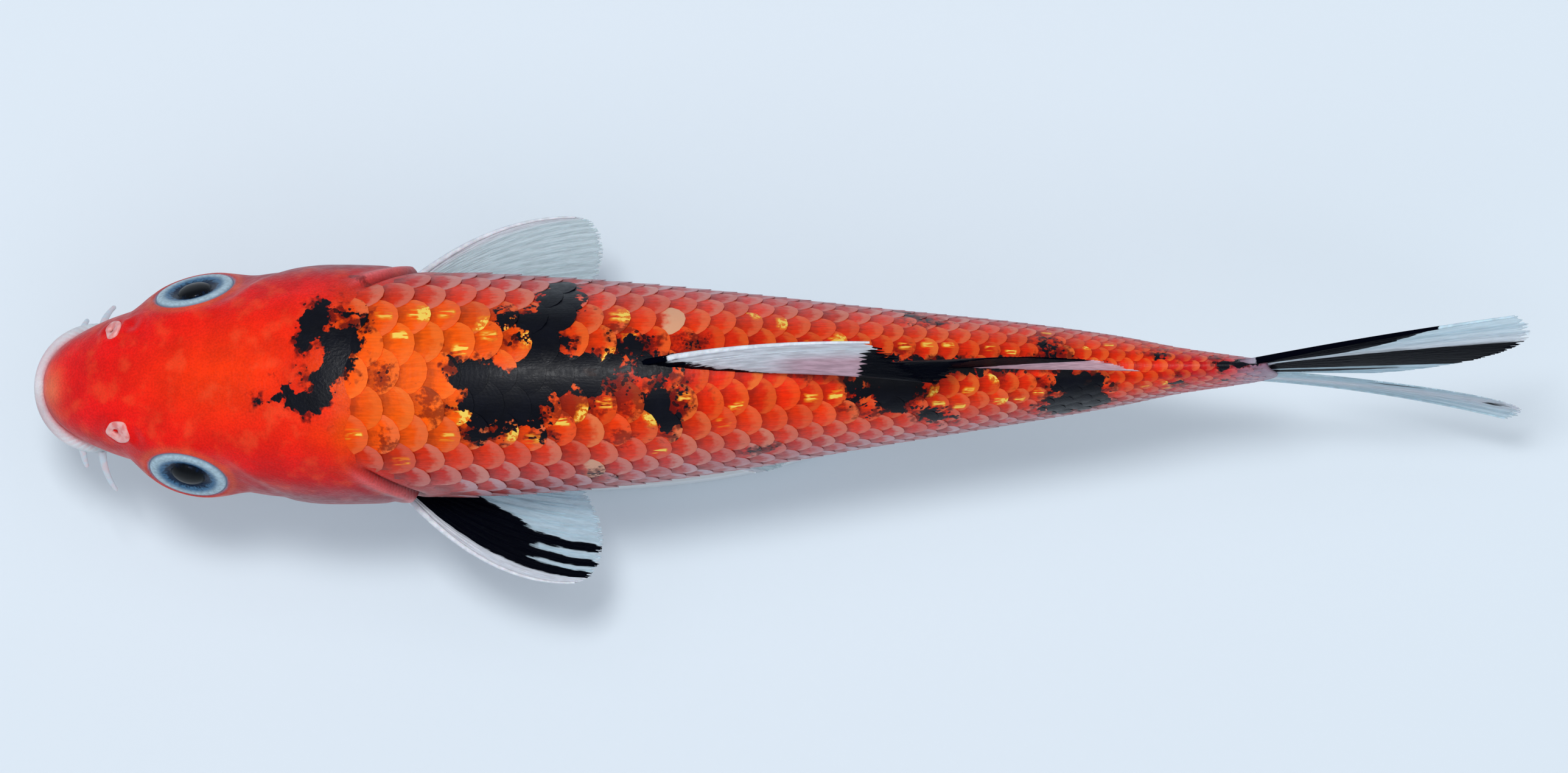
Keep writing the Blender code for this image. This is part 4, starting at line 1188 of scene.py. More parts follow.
def wrap_coat(mesh):
    """Bends the flat coat round the body and writes what its finish needs."""
    station, girth, height = points_of(mesh).T
    share = girth / FLAT
    turn = turn_at(np.minimum(station, SHEATH_END), share)
    station = np.minimum(station, SHEATH_END - 0.1)
    behind = station - head_end(turn)
    tucked = 0.8 * np.clip(2.3 - behind, 0, 2.5) * gill_zone(turn)  # the first roots go under at the gill
    raised = height * PITCHES(station) / TYPICAL_PITCH
    put(mesh, skin_point(station, turn, raised - coat_depth(station) - tucked))
    mesh.shade_smooth()
    mesh.set_sharp_from_angle(angle=math.radians(50))
    root_station, root_share = read(mesh, "root_station"), read(mesh, "root_share")
    seen_station = root_station + SEEN * PITCHES(root_station)
    # Near the head each point takes the colour of its own place, further back one nearer its scale's.
    half_way = station + (seen_station - station) * 0.6 * smooth(behind, 1, 9)
    write(mesh, "tone", ground_tone(half_way, root_share))
    write(mesh, "rim_tone", rim_tone(seen_station, root_share))
    rim_share = 0.38 + 0.44 * smooth(np.abs(root_share), 0.1, 0.32)
    write(mesh, "rim_share", np.clip(rim_share * read(mesh, "paleness"), 0, 0.95))
    girth, root_girth = share * half_girth(station), root_share * half_girth(seen_station)
    for name, strokes in MARKS.items():
        here = stroke_depth(strokes, station, girth)
        there = stroke_depth(strokes, seen_station, root_girth)
        write(mesh, name, 0.6 * here + 0.4 * np.maximum(there, here - 2.5))
    bake_map(mesh, root_station, root_share)


def bake_map(mesh, root_station, root_share):
    """Each scale gets its own small patch on an unrolling of the skin, with its underside beside it."""
    unrolled, patch, underside = 150, 0.003, 0.0035  # mm of body across the map, and shares of the map
    tip, fan, under = read(mesh, "tip"), read(mesh, "fan"), read(mesh, "under")
    across = (root_station - NOSE) / unrolled + patch * (tip - 0.5) + underside * under
    along = 0.5 + 0.49 * root_share + patch * fan / 2
    corners = np.empty(len(mesh.loops), np.int32)
    mesh.loops.foreach_get("vertex_index", corners)
    layer = mesh.uv_layers.new(name="OFBake")
    layer.data.foreach_set("uv", np.stack((across, along), -1)[corners].astype(np.float32).ravel())


for _, word in SIDES:
    wrap_coat(coats[word])
    piece(f"scales_{word}", coats[word], None)

# %% [markdown]
# ## Fins as fans of rays
# A fin is a fan: each ray runs from a root on the body to a tip, with a bow in the middle. The functions
# below say where ray number u (0 leading, 1 last) starts, ends and how it bows, for every fin. They are the
# same fans as the solids', so each thin fin lies in the middle of the thick one that it stands for.

# %% Edges that fans start from and end on
def steps(value):
    return np.asarray(value, float)[:, None]


def back_line(station):
    return np.stack((station, sway(station), axis_level(station) + rise_above(station)), -1)


def belly_line(station):
    return np.stack((station, sway(station), axis_level(station) - drop_below(station)), -1)


def through(corners, share):
    """A smooth edge that passes through four points."""
    a, b, c, d = (np.array(corner, float) for corner in corners)
    inner_b, inner_c = (b * 18 - c * 9 - a * 5 + d * 2) / 6, (c * 18 - b * 9 - d * 5 + a * 2) / 6
    t = steps(share)
    return a * (1 - t) ** 3 + inner_b * (3 * (1 - t) ** 2 * t) + inner_c * (3 * (1 - t) * t**2) + d * t**3


print("the back's ridge over the body line at the dorsal fin:", round(float(back_line(72.8)[2]), 1), "mm")

# %% [markdown]
# The dorsal fin is half folded, as it is when a carp glides: the stout first ray stands over the back and the
# rest lie lower, fanned to both sides. The paired fins are flat fans, held out and down.

# %% Rays of the dorsal, paired and anal fins
DORSAL_START, DORSAL_SPAN = 72.8, 44.2  # station of the first ray's root, and length of the fin's root
DORSAL_LEAN = curve_through(  # how far the tips lean to the right, from the first ray to the last
    (0, 0.1, 0.2, 0.29, 0.42, 0.62, 0.86, 1), (2.7, 1.5, -0.4, -1.9, 0.7, 1.2, 0.7, -0.7)
)


def dorsal_root(u):
    return DORSAL_START + DORSAL_SPAN * u


def dorsal_reach(u):
    return 16.5 + 12.0 * (1 - u) ** 1.6


def dorsal_rays(u):
    station = dorsal_root(u)
    fall = (1 - u) ** 2.6
    reach = dorsal_reach(u)
    tip = back_line(np.minimum(station + reach, STALK_END)) * 0.35 + back_line(station) * 0.65
    tip[:, 0] = station + reach
    tip[:, 2] += 3.2 + 9.3 * fall
    tip[:, 1] = sway(station) + DORSAL_LEAN(u)
    bow = np.stack((-0.9 + 0 * u, 0.7 * fall, 0.9 + 0 * u), -1)
    root = back_line(station) - (0, 0, 1.5)
    root[:, 1] += 0.9 * (1 - u) ** 8
    return root, tip, bow


def paired_rays(root, tips, spread, bow_side, bow_up, side, fading=1.0):
    """A paired fin: root as two (station, turn) places, tips as four points, mirrored for the left."""

    def rays(u):
        (s0, t0), (s1, t1) = root
        start = skin_point(s0 + (s1 - s0) * u, side * (t0 + (t1 - t0) * u), -1.5 + 0 * u)
        tip = through(tips, u)
        tip[:, 1] = side * (tip[:, 1] + spread * (1 - u))
        bow = np.stack((0 * u, side * bow_side * (1 - u) ** fading, bow_up + 0 * u), -1)
        return start, tip, bow

    return rays


def anal_rays(u):
    tips = (121.5, 1.5, -23.6), (123.6, 1.6, -21.8), (123.8, 1.6, -18.8), (124.8, 1.6, -15.4)
    return belly_line(109 + 8.5 * u) + (0, 0, 1.5), through(tips, u), np.array((0.5, 0, -0.5)) + 0 * steps(u)


print("the dorsal fin's last ray ends at station", round(float(dorsal_root(1) + dorsal_reach(1)), 1))


# %% [markdown]
# The tail fin has two lobes, one over the other. The tail beats, so the lobes lean to opposite sides of the
# tail stalk and show from above as two long leaves.

# %% Rays of the tail fin, and points between the rays
def tail_rays(lobe):
    """lobe is 1 for the upper and -1 for the lower; u runs from the outer ray to the fork."""
    end, height = (179.6, 21.5) if lobe > 0 else (181.4, 20.5)
    outer_lean, inner_lean, falling = (5.0, -0.35, 1.8) if lobe > 0 else (-4.5, -1.2, 1.0)
    root_height = 8.3 if lobe > 0 else 8.0
    tips = (
        (end - 1.5, 0, height),
        (end - 0.2, 0, height * 0.8),
        (end - 6.8, 0, height * 0.45),
        (162.5, 0, 1.3),
    )

    def rays(u):
        root_up = lobe * (0.3 + (root_height - 0.3) * (1 - u) ** 0.9)
        start = np.stack((144.5 + 0 * u, SWAY + 0 * u, root_up), -1)
        tip = through(tips, u)
        lean = inner_lean + (outer_lean - inner_lean) * (1 - u) ** falling
        tip[:, 1] = SWAY + lean
        tip[:, 2] *= lobe
        bow = np.stack((0 * u, (0.05 if lobe > 0 else -0.2) * lean, lobe * 0.9 * (1 - u)), -1)
        return start, tip, bow

    return rays


def fan_points(rays, u, v):
    """Points of a fan for flat arrays u and v."""
    root, tip, bow = rays(np.asarray(u, float))
    v = steps(v)
    return root * (1 - v) + tip * v + bow * (4 * v * (1 - v))


first_ray = fan_points(dorsal_rays, [0.0, 0.0], [0.0, 1.0])
print("the dorsal fin's first ray:", round(float(np.linalg.norm(first_ray[1] - first_ray[0])), 1), "mm")

# %% [markdown]
# ## Webs
# Between the rays stretches a web that thins from 0.42 mm at the root to 0.15 mm at the tip. It is notched
# between the ray tips and frayed by the fish's life. It is made as a closed sheet: a top net, a bottom net
# and a rim between them.

# %% The webs
def sheet_faces(rows, columns):
    """Faces of a closed thin sheet: a top net, a bottom net behind it in the list, and the rim."""
    step, under = columns, rows * columns
    faces = []
    for i in range(rows - 1):
        for j in range(columns - 1):
            a = i * step + j
            faces.append((a, a + step, a + step + 1, a + 1))
            faces.append((under + a + 1, under + a + step + 1, under + a + step, under + a))
    rim = [i * step for i in range(rows)] + [(rows - 1) * step + j for j in range(1, columns)]
    rim += [i * step + columns - 1 for i in range(rows - 2, -1, -1)] + [j for j in range(columns - 2, 0, -1)]
    for a, b in zip(rim, rim[1:] + rim[:1]):
        faces.append((b, a, under + a, under + b))
    return faces


WEB_THICKNESS = 0.42  # mm, at the root


def web_points(rays, count, rows, columns, notch, rng):
    """The web's net: u and v of each point, its middle and half its thickness along the normal."""
    u, v = np.meshgrid(np.linspace(0, 1, rows), np.linspace(0, 1, columns), indexing="ij")
    u, v = u.ravel(), v.ravel()
    between = np.abs(np.sin(math.pi * u * (2 * count)))
    fray = np.interp(u, np.linspace(0, 1, 4 * count + 1), rng.uniform(0, 1, 4 * count + 1))
    reach = 1 - notch * between * (1 - 0.5 * hump(u, 0, 0.06)) - 0.6 * notch * fray
    step = 0.004
    middle = fan_points(rays, u, v * reach)
    across = fan_points(rays, np.minimum(u + step, 1), v * reach)
    across -= fan_points(rays, np.maximum(u - step, 0), v * reach)
    along = fan_points(rays, u, np.minimum(v + step, 1)) - fan_points(rays, u, np.maximum(v - step, 0))
    half = WEB_THICKNESS * (0.5 - 0.32 * v)
    half = half * np.where((u == 0) | (u == 1) | (v == 1), 0.3, 1)
    return u, v, middle, unit(np.cross(across, along)) * half[:, None]


print("a web's net of 97 by 41 points has", len(sheet_faces(97, 41)), "faces")


# %% [markdown]
# ## Rays
# Each ray is a stiff tapering rod that forks twice on its way out. It is drawn as lines that carry their
# radius and their place in the fan, and Geometry Nodes swells them into tubes, as it does for the feelers.

# %% The node tree that swells lines into tubes
def tube_tree(corners):
    takes = {"Geometry": "Geometry", "Finish": "Material"}
    w, given, taken = new_tree("Tubes along lines", "Geometry", takes, {"Geometry": "Geometry"})
    lines = w.add("GeometryNodeMeshToCurve", {"Mesh": given["Geometry"]}).outputs[0]
    ring = w.add("GeometryNodeCurvePrimitiveCircle", {"Resolution": corners, "Radius": 1.0}).outputs[0]
    tubes = w.add("GeometryNodeCurveToMesh", {"Curve": lines, "Profile Curve": ring, "Fill Caps": True})
    w.feed(tubes.inputs["Scale"], w.named("radius_mm"))
    smoothed = w.add("GeometryNodeSetShadeSmooth", {"Geometry": tubes.outputs[0]})
    return dress(w, smoothed.outputs[0], given, taken)


RAY_TREE, FEELER_TREE = tube_tree(6), tube_tree(16)
tell(RAY_TREE, FEELER_TREE)


# %% The lines of the rays
def ray_lines(rays, count, stout, base_radius, tip_radius, reach=1.0):
    """Lines of forked rays: the places u and v of their points, their points, edges and radii."""
    places, edges, radii = [], [], []

    def line(us, vs, thin):
        first = len(places)
        places.extend(zip(np.clip(us, 0, 1), vs * reach))
        edges.extend((first + i, first + i + 1) for i in range(len(us) - 1))
        radii.extend((base_radius + (tip_radius - base_radius) * vs**0.7) * thin)

    gap = 1 / (count - 1)
    for k in range(count):
        u = k * gap
        if k < stout:
            line(np.full(25, u), np.linspace(0, 1, 25), 1.7 - 0.5 * k)
            continue
        line(np.full(13, u), np.linspace(0, 0.45, 13), 1.0)
        for fork in (-1, 1):
            vs = np.linspace(0.44, 0.72, 8)
            line(u + fork * gap * 0.16 * smooth(vs, 0.42, 0.8), vs, 0.8)
            for twig in (-1, 1):
                vs = np.linspace(0.71, 1.0, 9)
                spread = fork * 0.16 * smooth(vs, 0.42, 0.8) + twig * 0.1 * smooth(vs, 0.68, 1.05)
                line(u + gap * spread, vs, 0.62)
    u, v = np.array(places).T
    return u, v, fan_points(rays, u, v), edges, np.array(radii)


print("lines in a fan of 11 rays:", len(ray_lines(tail_rays(1), 11, 1, 0.28, 0.08)[3]), "short pieces")


# %% [markdown]
# ## The fins' finish
# The web is milky at the root and half clear at the tip, so how much it hides matters as much as its colour.
# Streaks run along the rays, and the black lies in it as in the skin. The rays are milky, and dark where the
# web is dark.

# %% The fins' materials
def web_finish():
    f = Finish("fin_web", Roughness=0.5, Specular_IOR_Level=0.02)
    along = f.vector(f.attribute("ray_u"), f.times(f.attribute("ray_v"), 0.22))
    fine = f.lumps(46.0, along)
    black = f.span(f.plus(f.attribute("ink"), f.span(fine, 0.3, 0.7, -0.7, 0.7)), -0.25, 0.35)
    tone = f.scaled(f.attribute("tone", "Color"), f.span(fine, 0.32, 0.68, 0.9, 1.08))
    f.give("Base Color", f.blend(black, tone, paint(3, 5, 14)))
    veil = f.times(f.attribute("veil"), f.span(fine, 0.3, 0.7, 0.86, 1.12))
    f.give("Alpha", f.sum("MINIMUM", f.sum("MAXIMUM", veil, f.times(black, 0.96)), 1.0))
    f.bump(fine, 0.12)
    return f.material


def ray_finish():
    f = Finish("fin_rays", Roughness=0.5, Specular_IOR_Level=0.0)
    f.give("Subsurface Weight", 0.2)
    f.give("Subsurface Scale", 0.3 * MM)
    where = f.place()
    tone = f.scaled(f.attribute("tone", "Color"), f.vary(0.8, where, 0.86, 1.1))
    torn = f.plus(f.attribute("ink"), f.vary(1.2, where, -0.6, 0.6))
    f.give("Base Color", f.blend(f.span(torn, -0.3, 0.3), tone, paint(4, 6, 16)))
    f.bump(f.noise(0.5, where), 0.06)
    return f.material


WEB, RAYS = web_finish(), ray_finish()
tell(WEB, RAYS)

# %% [markdown]
# ## What colour each fin is
# For every fin a small function gives the web's colour, how much it hides, and the depth of black, from the
# ray number u and the share v of the way to the tip. White, pink and black lie in bands along the rays.

# %% Colours of the fins
WHITE, PINK, WATER = paint(226, 232, 240), paint(226, 176, 178), paint(196, 222, 234)


def band(u, low, high, soft=0.03):
    return smooth(u, low - soft, low + soft) * (1 - smooth(u, high - soft, high + soft))


def dorsal_colours(u, v):
    """A white blade that ends blunt, rosy on its fanned side; black behind it; a white last ray."""
    tone = primer(WHITE, u)
    station = dorsal_root(u) + v * dorsal_reach(u)
    tone = lay(tone, paint(206, 160, 176), smooth(u, 0.07, 0.16) * smooth(station, 88, 95) * 0.85)
    tone = lay(tone, PINK, smooth(u, 0.8, 0.95) * 0.25)
    behind_blade = smooth(station + 5 * u, 101.6, 103.4) * smooth(u, 0.015, 0.04)
    black = np.maximum(band(u, 0.36, 0.86, 0.03), behind_blade * (1 - smooth(u, 0.4, 0.5)))
    dark = np.maximum(black * 5 - 2, 2 - (v - 0.05) * 16)
    return tone, 0.8 + 0.16 * (1 - v), dark


def tail_colours(lobe):
    """Black leaves on the upper lobe; the lower one is nearly clear, with a streak and a dot."""

    def colours(u, v):
        tone = lay(primer(WATER, u), WHITE, hump(u, 0.35, 0.2))
        tone = lay(tone, paint(150, 120, 140), 1 - smooth(v, 0.04, 0.16))
        if lobe > 0:
            lead = band(u, -0.2, 0.21 * (1 - smooth(v, 0.3, 0.8)) - 0.02) * smooth(v, 0.05, 0.14)
            main = band(u, 0.27 + 0.05 * v, 0.68, 0.04) * smooth(v, 0.1, 0.2) * (1 - smooth(v, 0.97, 1.1))
            last = band(u, 0.77, 0.9 - 0.13 * smooth(v, 0.35, 0.9)) * smooth(v, 0.12, 0.22)
            dark = np.maximum(np.maximum(lead, main), last) * 7 - 2.4
        else:
            streak = hump(u, 0.72, 0.06) * hump(v, 0.74, 0.13)
            dot = hump(u, 0.3, 0.06) * hump(v, 0.92, 0.035)
            dark = np.maximum(streak, dot) * 3.6 - 2.0
        return tone, 0.5 + 0.35 * (1 - v), dark

    return colours


def left_pectoral_colours(u, v):
    """White in front; black from the root, which thins out into fingers along the rays."""
    tone = lay(primer(WATER, u), WHITE, 1 - smooth(u, 0.1, 0.18))
    fingers = 0.5 + 0.5 * np.cos(u * 2 * math.pi / 0.13 + 1.4)
    reach = 0.74 - 0.22 * smooth(v, 0.1, 0.75)
    black = smooth(u, 0.1, 0.16) * (1 - smooth(u, reach - 0.06, reach + 0.03))
    gaps = 4.4 * fingers * smooth(v, 0.42, 0.85) * smooth(u, 0.16, 0.26)
    dark = black * 4.5 - 2 - gaps - 2.5 * smooth(v, 0.92, 1.1)
    return tone, 0.42 + 0.4 * (1 - v) ** 2, dark


def pale_colours(u, v):
    tone = lay(primer(paint(206, 226, 232), u), WHITE, 1 - smooth(u, 0.05, 0.15))
    return tone, 0.6 + 0.3 * (1 - v) ** 2, 0 * u - 3


root_and_tip = pale_colours(np.zeros(2), np.array((0.0, 1.0)))[1]
print("a pale fin hides", root_and_tip.round(2).tolist(), "of what lies behind its root and tip")


# %% [markdown]
# ## The fins
# The table says for every fin how it fans, what colours it has, how many rays it counts and which of them are
# stout, and how deep the web is notched. The anal and pelvic fins have finer rays and a coarser net.

# %% Build the fins
LARGE_FIN = (0.28, 0.08), (97, 41)  # radii of a ray at root and tip, and rows and columns of the web's net
SMALL_FIN = (0.24, 0.07), (65, 25)


def build_fin(name, rays, colours, count, slot, stout, notch):
    """One fin: its web, and its rays as a second piece."""
    small = "pelvic" in name or "anal" in name
    girth, net = SMALL_FIN if small else LARGE_FIN
    rng = np.random.default_rng(len(name) + count)
    u, v, middle, half = web_points(rays, count, *net, notch, rng)
    web = mesh_of(f"{name}_web", np.vstack((middle + half, middle - half)), sheet_faces(*net))
    u, v = np.tile(u, 2), np.tile(v, 2)
    tone, veil, dark = colours(u, v)
    for key, numbers in {"tone": tone, "veil": veil, "ink": dark, "ray_u": u, "ray_v": v}.items():
        write(web, key, numbers)
    piece(f"{name}_web", web, WEB, (name,))
    u, v, points, edges, radii = ray_lines(rays, count, stout, *girth, reach=0.985)
    lines = bpy.data.meshes.new("lines")
    lines.from_pydata(points.tolist(), edges, [])
    for key, numbers in {"radius_mm": radii, "ray_u": u, "ray_v": v}.items():
        write(lines, key, numbers)
    tubes = grown(f"{name}_rays", lines, RAY_TREE, Finish=RAYS)
    put(tubes, points_of(tubes))
    tone, _, dark = colours(read(tubes, "ray_u"), read(tubes, "ray_v"))
    write(tubes, "tone", tone)
    write(tubes, "ink", dark)
    piece(f"{name}_rays", tubes, None)


def pectoral(side, spread, bow):
    root = (43.4, math.radians(115)), (46.2, math.radians(133))
    tips = (65.6, 22.3, -9.0), (68.6, 20.0, -10.5), (68.4, 14.8, -13.2), (64.0, 9.4, -17.2)
    return paired_rays(root, tips, spread, bow, 0.5, side, 1.3)


def pelvic(side):
    root = (73.0, math.radians(156)), (75.5, math.radians(168))
    tips = (87.5, 9.4, -20.8), (91.2, 8.3, -22.2), (91.0, 6.0, -23.0), (86.0, 3.4, -22.6)
    return paired_rays(root, tips, 0.0, 0.6, -0.3, side)


FINS = {  # rays, colours, number of rays, slot, stout rays, depth of the notches
    "dorsal_fin": (dorsal_rays, dorsal_colours, 18, "fin_dark", 2, 0.05),
    "anal_fin": (anal_rays, pale_colours, 7, "fin_pale", 1, 0.03),
    "tail_fin_upper": (tail_rays(1), tail_colours(1), 11, "fin_dark", 1, 0.03),
    "tail_fin_lower": (tail_rays(-1), tail_colours(-1), 11, "fin_pale", 1, 0.03),
    "pectoral_fin_right": (pectoral(1, -1.2, 2.5), pale_colours, 15, "fin_pale", 1, 0.03),
    "pectoral_fin_left": (pectoral(-1, 1.2, 3.4), left_pectoral_colours, 15, "fin_dark", 1, 0.03),
    "pelvic_fin_right": (pelvic(1), pale_colours, 9, "fin_pale", 1, 0.03),
    "pelvic_fin_left": (pelvic(-1), pale_colours, 9, "fin_pale", 1, 0.03),
}
for name, row in FINS.items():
    build_fin(name, *row)

# %% [markdown]
# ## The eyes
# A carp's eye is a low disc with a pale ring, a dark ring and a black lens that bulges through the pupil,
# under a clear shell. Each eye is turned on a lathe from its rim to its lens. The clear shell is a piece of
# its own, so that it can shine while the ring under it stays soft.

# %% A lathe, and the eyes' finishes
def turned(outline, centre, axis, spokes=64):
    """A closed solid of revolution from (radius, height) pairs that start and end on the axis."""
    axis = np.array(axis, float)
    across = unit(np.cross(axis, (0.31, 0.2, 0.93)))
    other = np.cross(axis, across)
    centre = np.array(centre)
    points, faces = [centre + axis * outline[0][1]], []
    inner = outline[1:-1]
    for radius, height in inner:
        for k in range(spokes):
            angle = math.tau * k / spokes
            outward = across * math.cos(angle) + other * math.sin(angle)
            points.append(centre + axis * height + outward * radius)
    points.append(centre + axis * outline[-1][1])
    last, rings = len(points) - 1, len(inner)
    for k in range(spokes):
        n = (k + 1) % spokes
        faces.append((0, 1 + n, 1 + k))
        for ring in range(rings - 1):
            a, b = 1 + ring * spokes, 1 + (ring + 1) * spokes
            faces.append((a + k, a + n, b + n, b + k))
        faces.append((1 + (rings - 1) * spokes + k, 1 + (rings - 1) * spokes + n, last))
    return np.array(points), faces


def eye_finish():
    f = Finish("eye", Roughness=0.25, Coat_Weight=0.06, Coat_Roughness=0.04, Specular_IOR_Level=0.06)
    away = f.attribute("away")
    fibres = f.lumps(5.0, f.vector(f.times(away, 0.5), f.attribute("spoke_y"), f.attribute("spoke_z")), 4.0)
    ring = f.blend(f.span(away, 3.2, 4.2), paint(66, 112, 150), paint(176, 202, 216))
    ring = f.scaled(ring, f.span(fibres, 0.3, 0.7, 0.8, 1.1))
    edge = f.plus(away, f.span(fibres, 0.3, 0.7, -0.2, 0.2))
    ring = f.blend(f.span(edge, 2.6, 3.3, 1.0, 0.0), ring, paint(8, 30, 58))
    ring = f.blend(f.span(edge, 2.05, 2.25, 1.0, 0.0), ring, paint(2, 3, 8))
    f.give("Base Color", f.blend(f.span(away, 4.55, 4.85), ring, paint(120, 140, 160)))
    f.bump(f.times(fibres, f.span(away, 2.2, 2.6)), 0.08)
    return f.material


def cornea_finish():
    f = Finish("eye_shell", Specular_IOR_Level=0.8, Alpha=0.04)
    f.give("Base Color", (0.01, 0.02, 0.03, 1))
    f.give("Roughness", f.vary(1.5, f.place(), 0.02, 0.05))
    return f.material


EYE, SHELL = eye_finish(), cornea_finish()
tell(EYE, SHELL)

# %% Turn the eyes
def dome(radius, level, height, last, steps):
    """A round cap's outline, from its rim to near the axis."""
    turns = np.linspace(math.pi / 2, last, steps)
    return [(radius * math.sin(turn), level + height * math.cos(turn)) for turn in turns]


EYE_OUTLINE = [(0, -1.9), (3.2, -1.9), (4.6, -1.3), (EYE_RADIUS, -0.6), (4.85, 0.0), (4.6, 0.3), (4.2, 0.42)]
EYE_OUTLINE += [(3.7, 0.4), (3.2, 0.32), (2.8, 0.2), (2.45, 0.1), (2.25, 0.02)]
EYE_OUTLINE += dome(2.1, 0.02, 0.86, 0.12, 9) + [(0, 0.88)]
SHELL_OUTLINE = [(0, 0.1), (2.0, 0.1), (4.2, 0.15)] + dome(4.45, 0.2, 1.0, 0.08, 14) + [(0, 1.2)]
for side, word in SIDES:
    centre, outward, ahead, up = eye_frame(side)
    points, faces = turned(EYE_OUTLINE, centre, outward)
    disc = mesh_of(f"eye_disc_{word}", points, faces)
    local = points - centre
    height = local @ outward
    flat = local - height[:, None] * outward
    write(disc, "away", np.where(height < -1.0, EYE_RADIUS, np.linalg.norm(flat, axis=1)))
    spoke = unit(flat) * 2  # points round a circle, so that the fibres' noise has no seam
    write(disc, "spoke_y", spoke @ ahead)
    write(disc, "spoke_z", spoke @ up)
    piece(f"eye_disc_{word}", disc, EYE, (f"eye_{word}",))
    points, faces = turned(SHELL_OUTLINE, centre, outward)
    piece(f"eye_shell_{word}", mesh_of(f"eye_shell_{word}", points, faces), SHELL)

# %% [markdown]
# ## Feelers
# Two pairs of feelers hang from the upper lip: soft tubes that taper to a round tip. They are drawn as lines
# that start outward and down from the lip and curl back, and are swelled as the rays are.

# %% Grow the feelers
def soft_finish(name, tone, other, patch, low, grain):
    """Wet soft skin in two tones that mingle in patches, with a fine grain."""
    f = Finish(name, Roughness=0.34)
    f.give("Subsurface Weight", 0.2)
    f.give("Subsurface Scale", 0.5 * MM)
    where = f.place()
    f.give("Base Color", f.blend(f.span(f.noise(patch, where), low, 0.7), tone, other))
    f.bump(f.noise(grain, where, 4.0), 0.06)
    return f.material


LIP = soft_finish("lip", paint(204, 220, 230), paint(222, 206, 212), 1.3, 0.35, 0.4)
FLAP = soft_finish("nostril_flap", paint(232, 128, 124), paint(244, 184, 180), 0.8, 0.3, 0.3)
FEELERS = {"front": (0.76, 2.4, 0.3), "rear": (0.96, 5.8, 0.5)}  # place along the lip, length and curl


def feeler_line(share, length, curl, side, points=22):
    droop = 1.8 if side > 0 else 0.9
    outward = unit(np.array((0.0, side, -droop)))
    back = unit(np.array((1.0, side * 0.4, -0.7 * droop)))
    line = [mouth_line(side * share) + outward * 0.2]
    for i in range(points - 1):
        along = (i + 0.5) / (points - 1)
        heading = unit(outward * (1 - curl * along) + back * curl * along)
        line.append(line[-1] + heading * (length + 1.05) / (points - 1))
    return np.array(line)


for kind, (share, length, curl) in FEELERS.items():
    for side, word in SIDES:
        line = feeler_line(share, length, curl, side)
        along = np.linspace(0, 1, len(line))
        radius = (0.52 - 0.26 * along) * np.sqrt(np.clip((1.015 - along) / 0.06, 0, 1))
        start = bpy.data.meshes.new("feeler")
        start.from_pydata(line.tolist(), [(i, i + 1) for i in range(len(line) - 1)], [])
        write(start, "radius_mm", radius)
        name = f"feeler_{kind}_{word}"
        feeler = grown(name, start, FEELER_TREE, Finish=LIP)
        put(feeler, points_of(feeler))
        piece(name, feeler, None, (f"barbel_{kind}_{word}",))

# %% [markdown]
# ## Nostril rings
# Round each nostril stands a thin frill of skin that steers water in. It is a closed ring whose outline is
# carried round the pit, a little wavy, and higher behind than before.

# %% Make the nostril rings
NOSTRIL_SIZES = {1: (0.95, 1.65, 0.75), -1: (1.5, 1.75, 0.6)}  # half length, half width and height, by side
NOSTRIL_OUTLINE = (  # share of the ring's half size, and share of its height, from outside to inside
    *((1.04, -0.35), (1.03, 0.0), (0.98, 0.4), (0.88, 0.7), (0.72, 0.78), (0.5, 0.56)),
    *((0.34, 0.34), (0.24, 0.1), (0.2, -0.35)),
)


def nostril_ring(side, rows=40):
    """A soft raised ring round the nostril, higher behind than before it."""
    station, turn = NOSTRIL_SEATS[side]
    half_length, half_span, height = NOSTRIL_SIZES[side]
    sides = len(NOSTRIL_OUTLINE)
    angle, place = np.meshgrid(np.arange(rows) * math.tau / rows, np.arange(sides), indexing="ij")
    share, lift = np.array(NOSTRIL_OUTLINE)[place.ravel()].T
    angle = angle.ravel()
    behind = 0.5 + 0.5 * np.cos(angle)
    wavy = 1 + 0.06 * np.sin(3 * angle + side) + 0.04 * np.sin(5 * angle)
    along = station + half_length * share * wavy * np.cos(angle)
    along = along + 0.35 * lift * behind - 0.3 * half_length * (1 - share)
    swing = half_span * share * wavy * np.sin(angle) / float(half_width(station))
    across = side * (turn + swing)
    height = lift * height * (0.35 + 0.65 * behind)
    points = skin_point(along, across, np.where(lift < 0, -0.35, height))
    faces = []
    for i in range(rows):
        for j in range(sides):
            a, b = i * sides + j, (i + 1) % rows * sides + j
            c, d = (i + 1) % rows * sides + (j + 1) % sides, i * sides + (j + 1) % sides
            faces.append((a, b, c, d) if side > 0 else (d, c, b, a))
    return points, faces


for side, word in SIDES:
    ring = mesh_of(f"nostril_ring_{word}", *nostril_ring(side))
    piece(ring.name, ring, FLAP, (f"nostril_flap_{word}",))

# %% [markdown]
# ## The display stand
# The fish stands on two steel rods over a satin oval base. Both are turned on a lathe; the base is then
# stretched to an oval.

# %% The oval base and the two rods
def steel_finish():
    f = Finish("stand_steel", Metallic=1.0)
    f.give("Base Color", (0.62, 0.63, 0.65, 1))
    brushed = f.add("ShaderNodeMapping", {"Vector": f.place(), "Scale": (1.0, 1.0, 14.0)}).outputs[0]
    f.give("Roughness", f.vary(1.0, brushed, 0.22, 0.36, 4.0))
    f.bump(f.noise(1.0, brushed, 4.0), 0.01)
    return f.material


def base_finish():
    f = Finish("stand_base", Coat_Weight=0.2)
    where = f.place()
    f.give("Base Color", f.blend(f.noise(6.0, where), paint(222, 228, 232), paint(232, 236, 240)))
    f.give("Roughness", f.vary(1.5, where, 0.38, 0.5))
    f.bump(f.noise(0.5, where), 0.02)
    return f.material


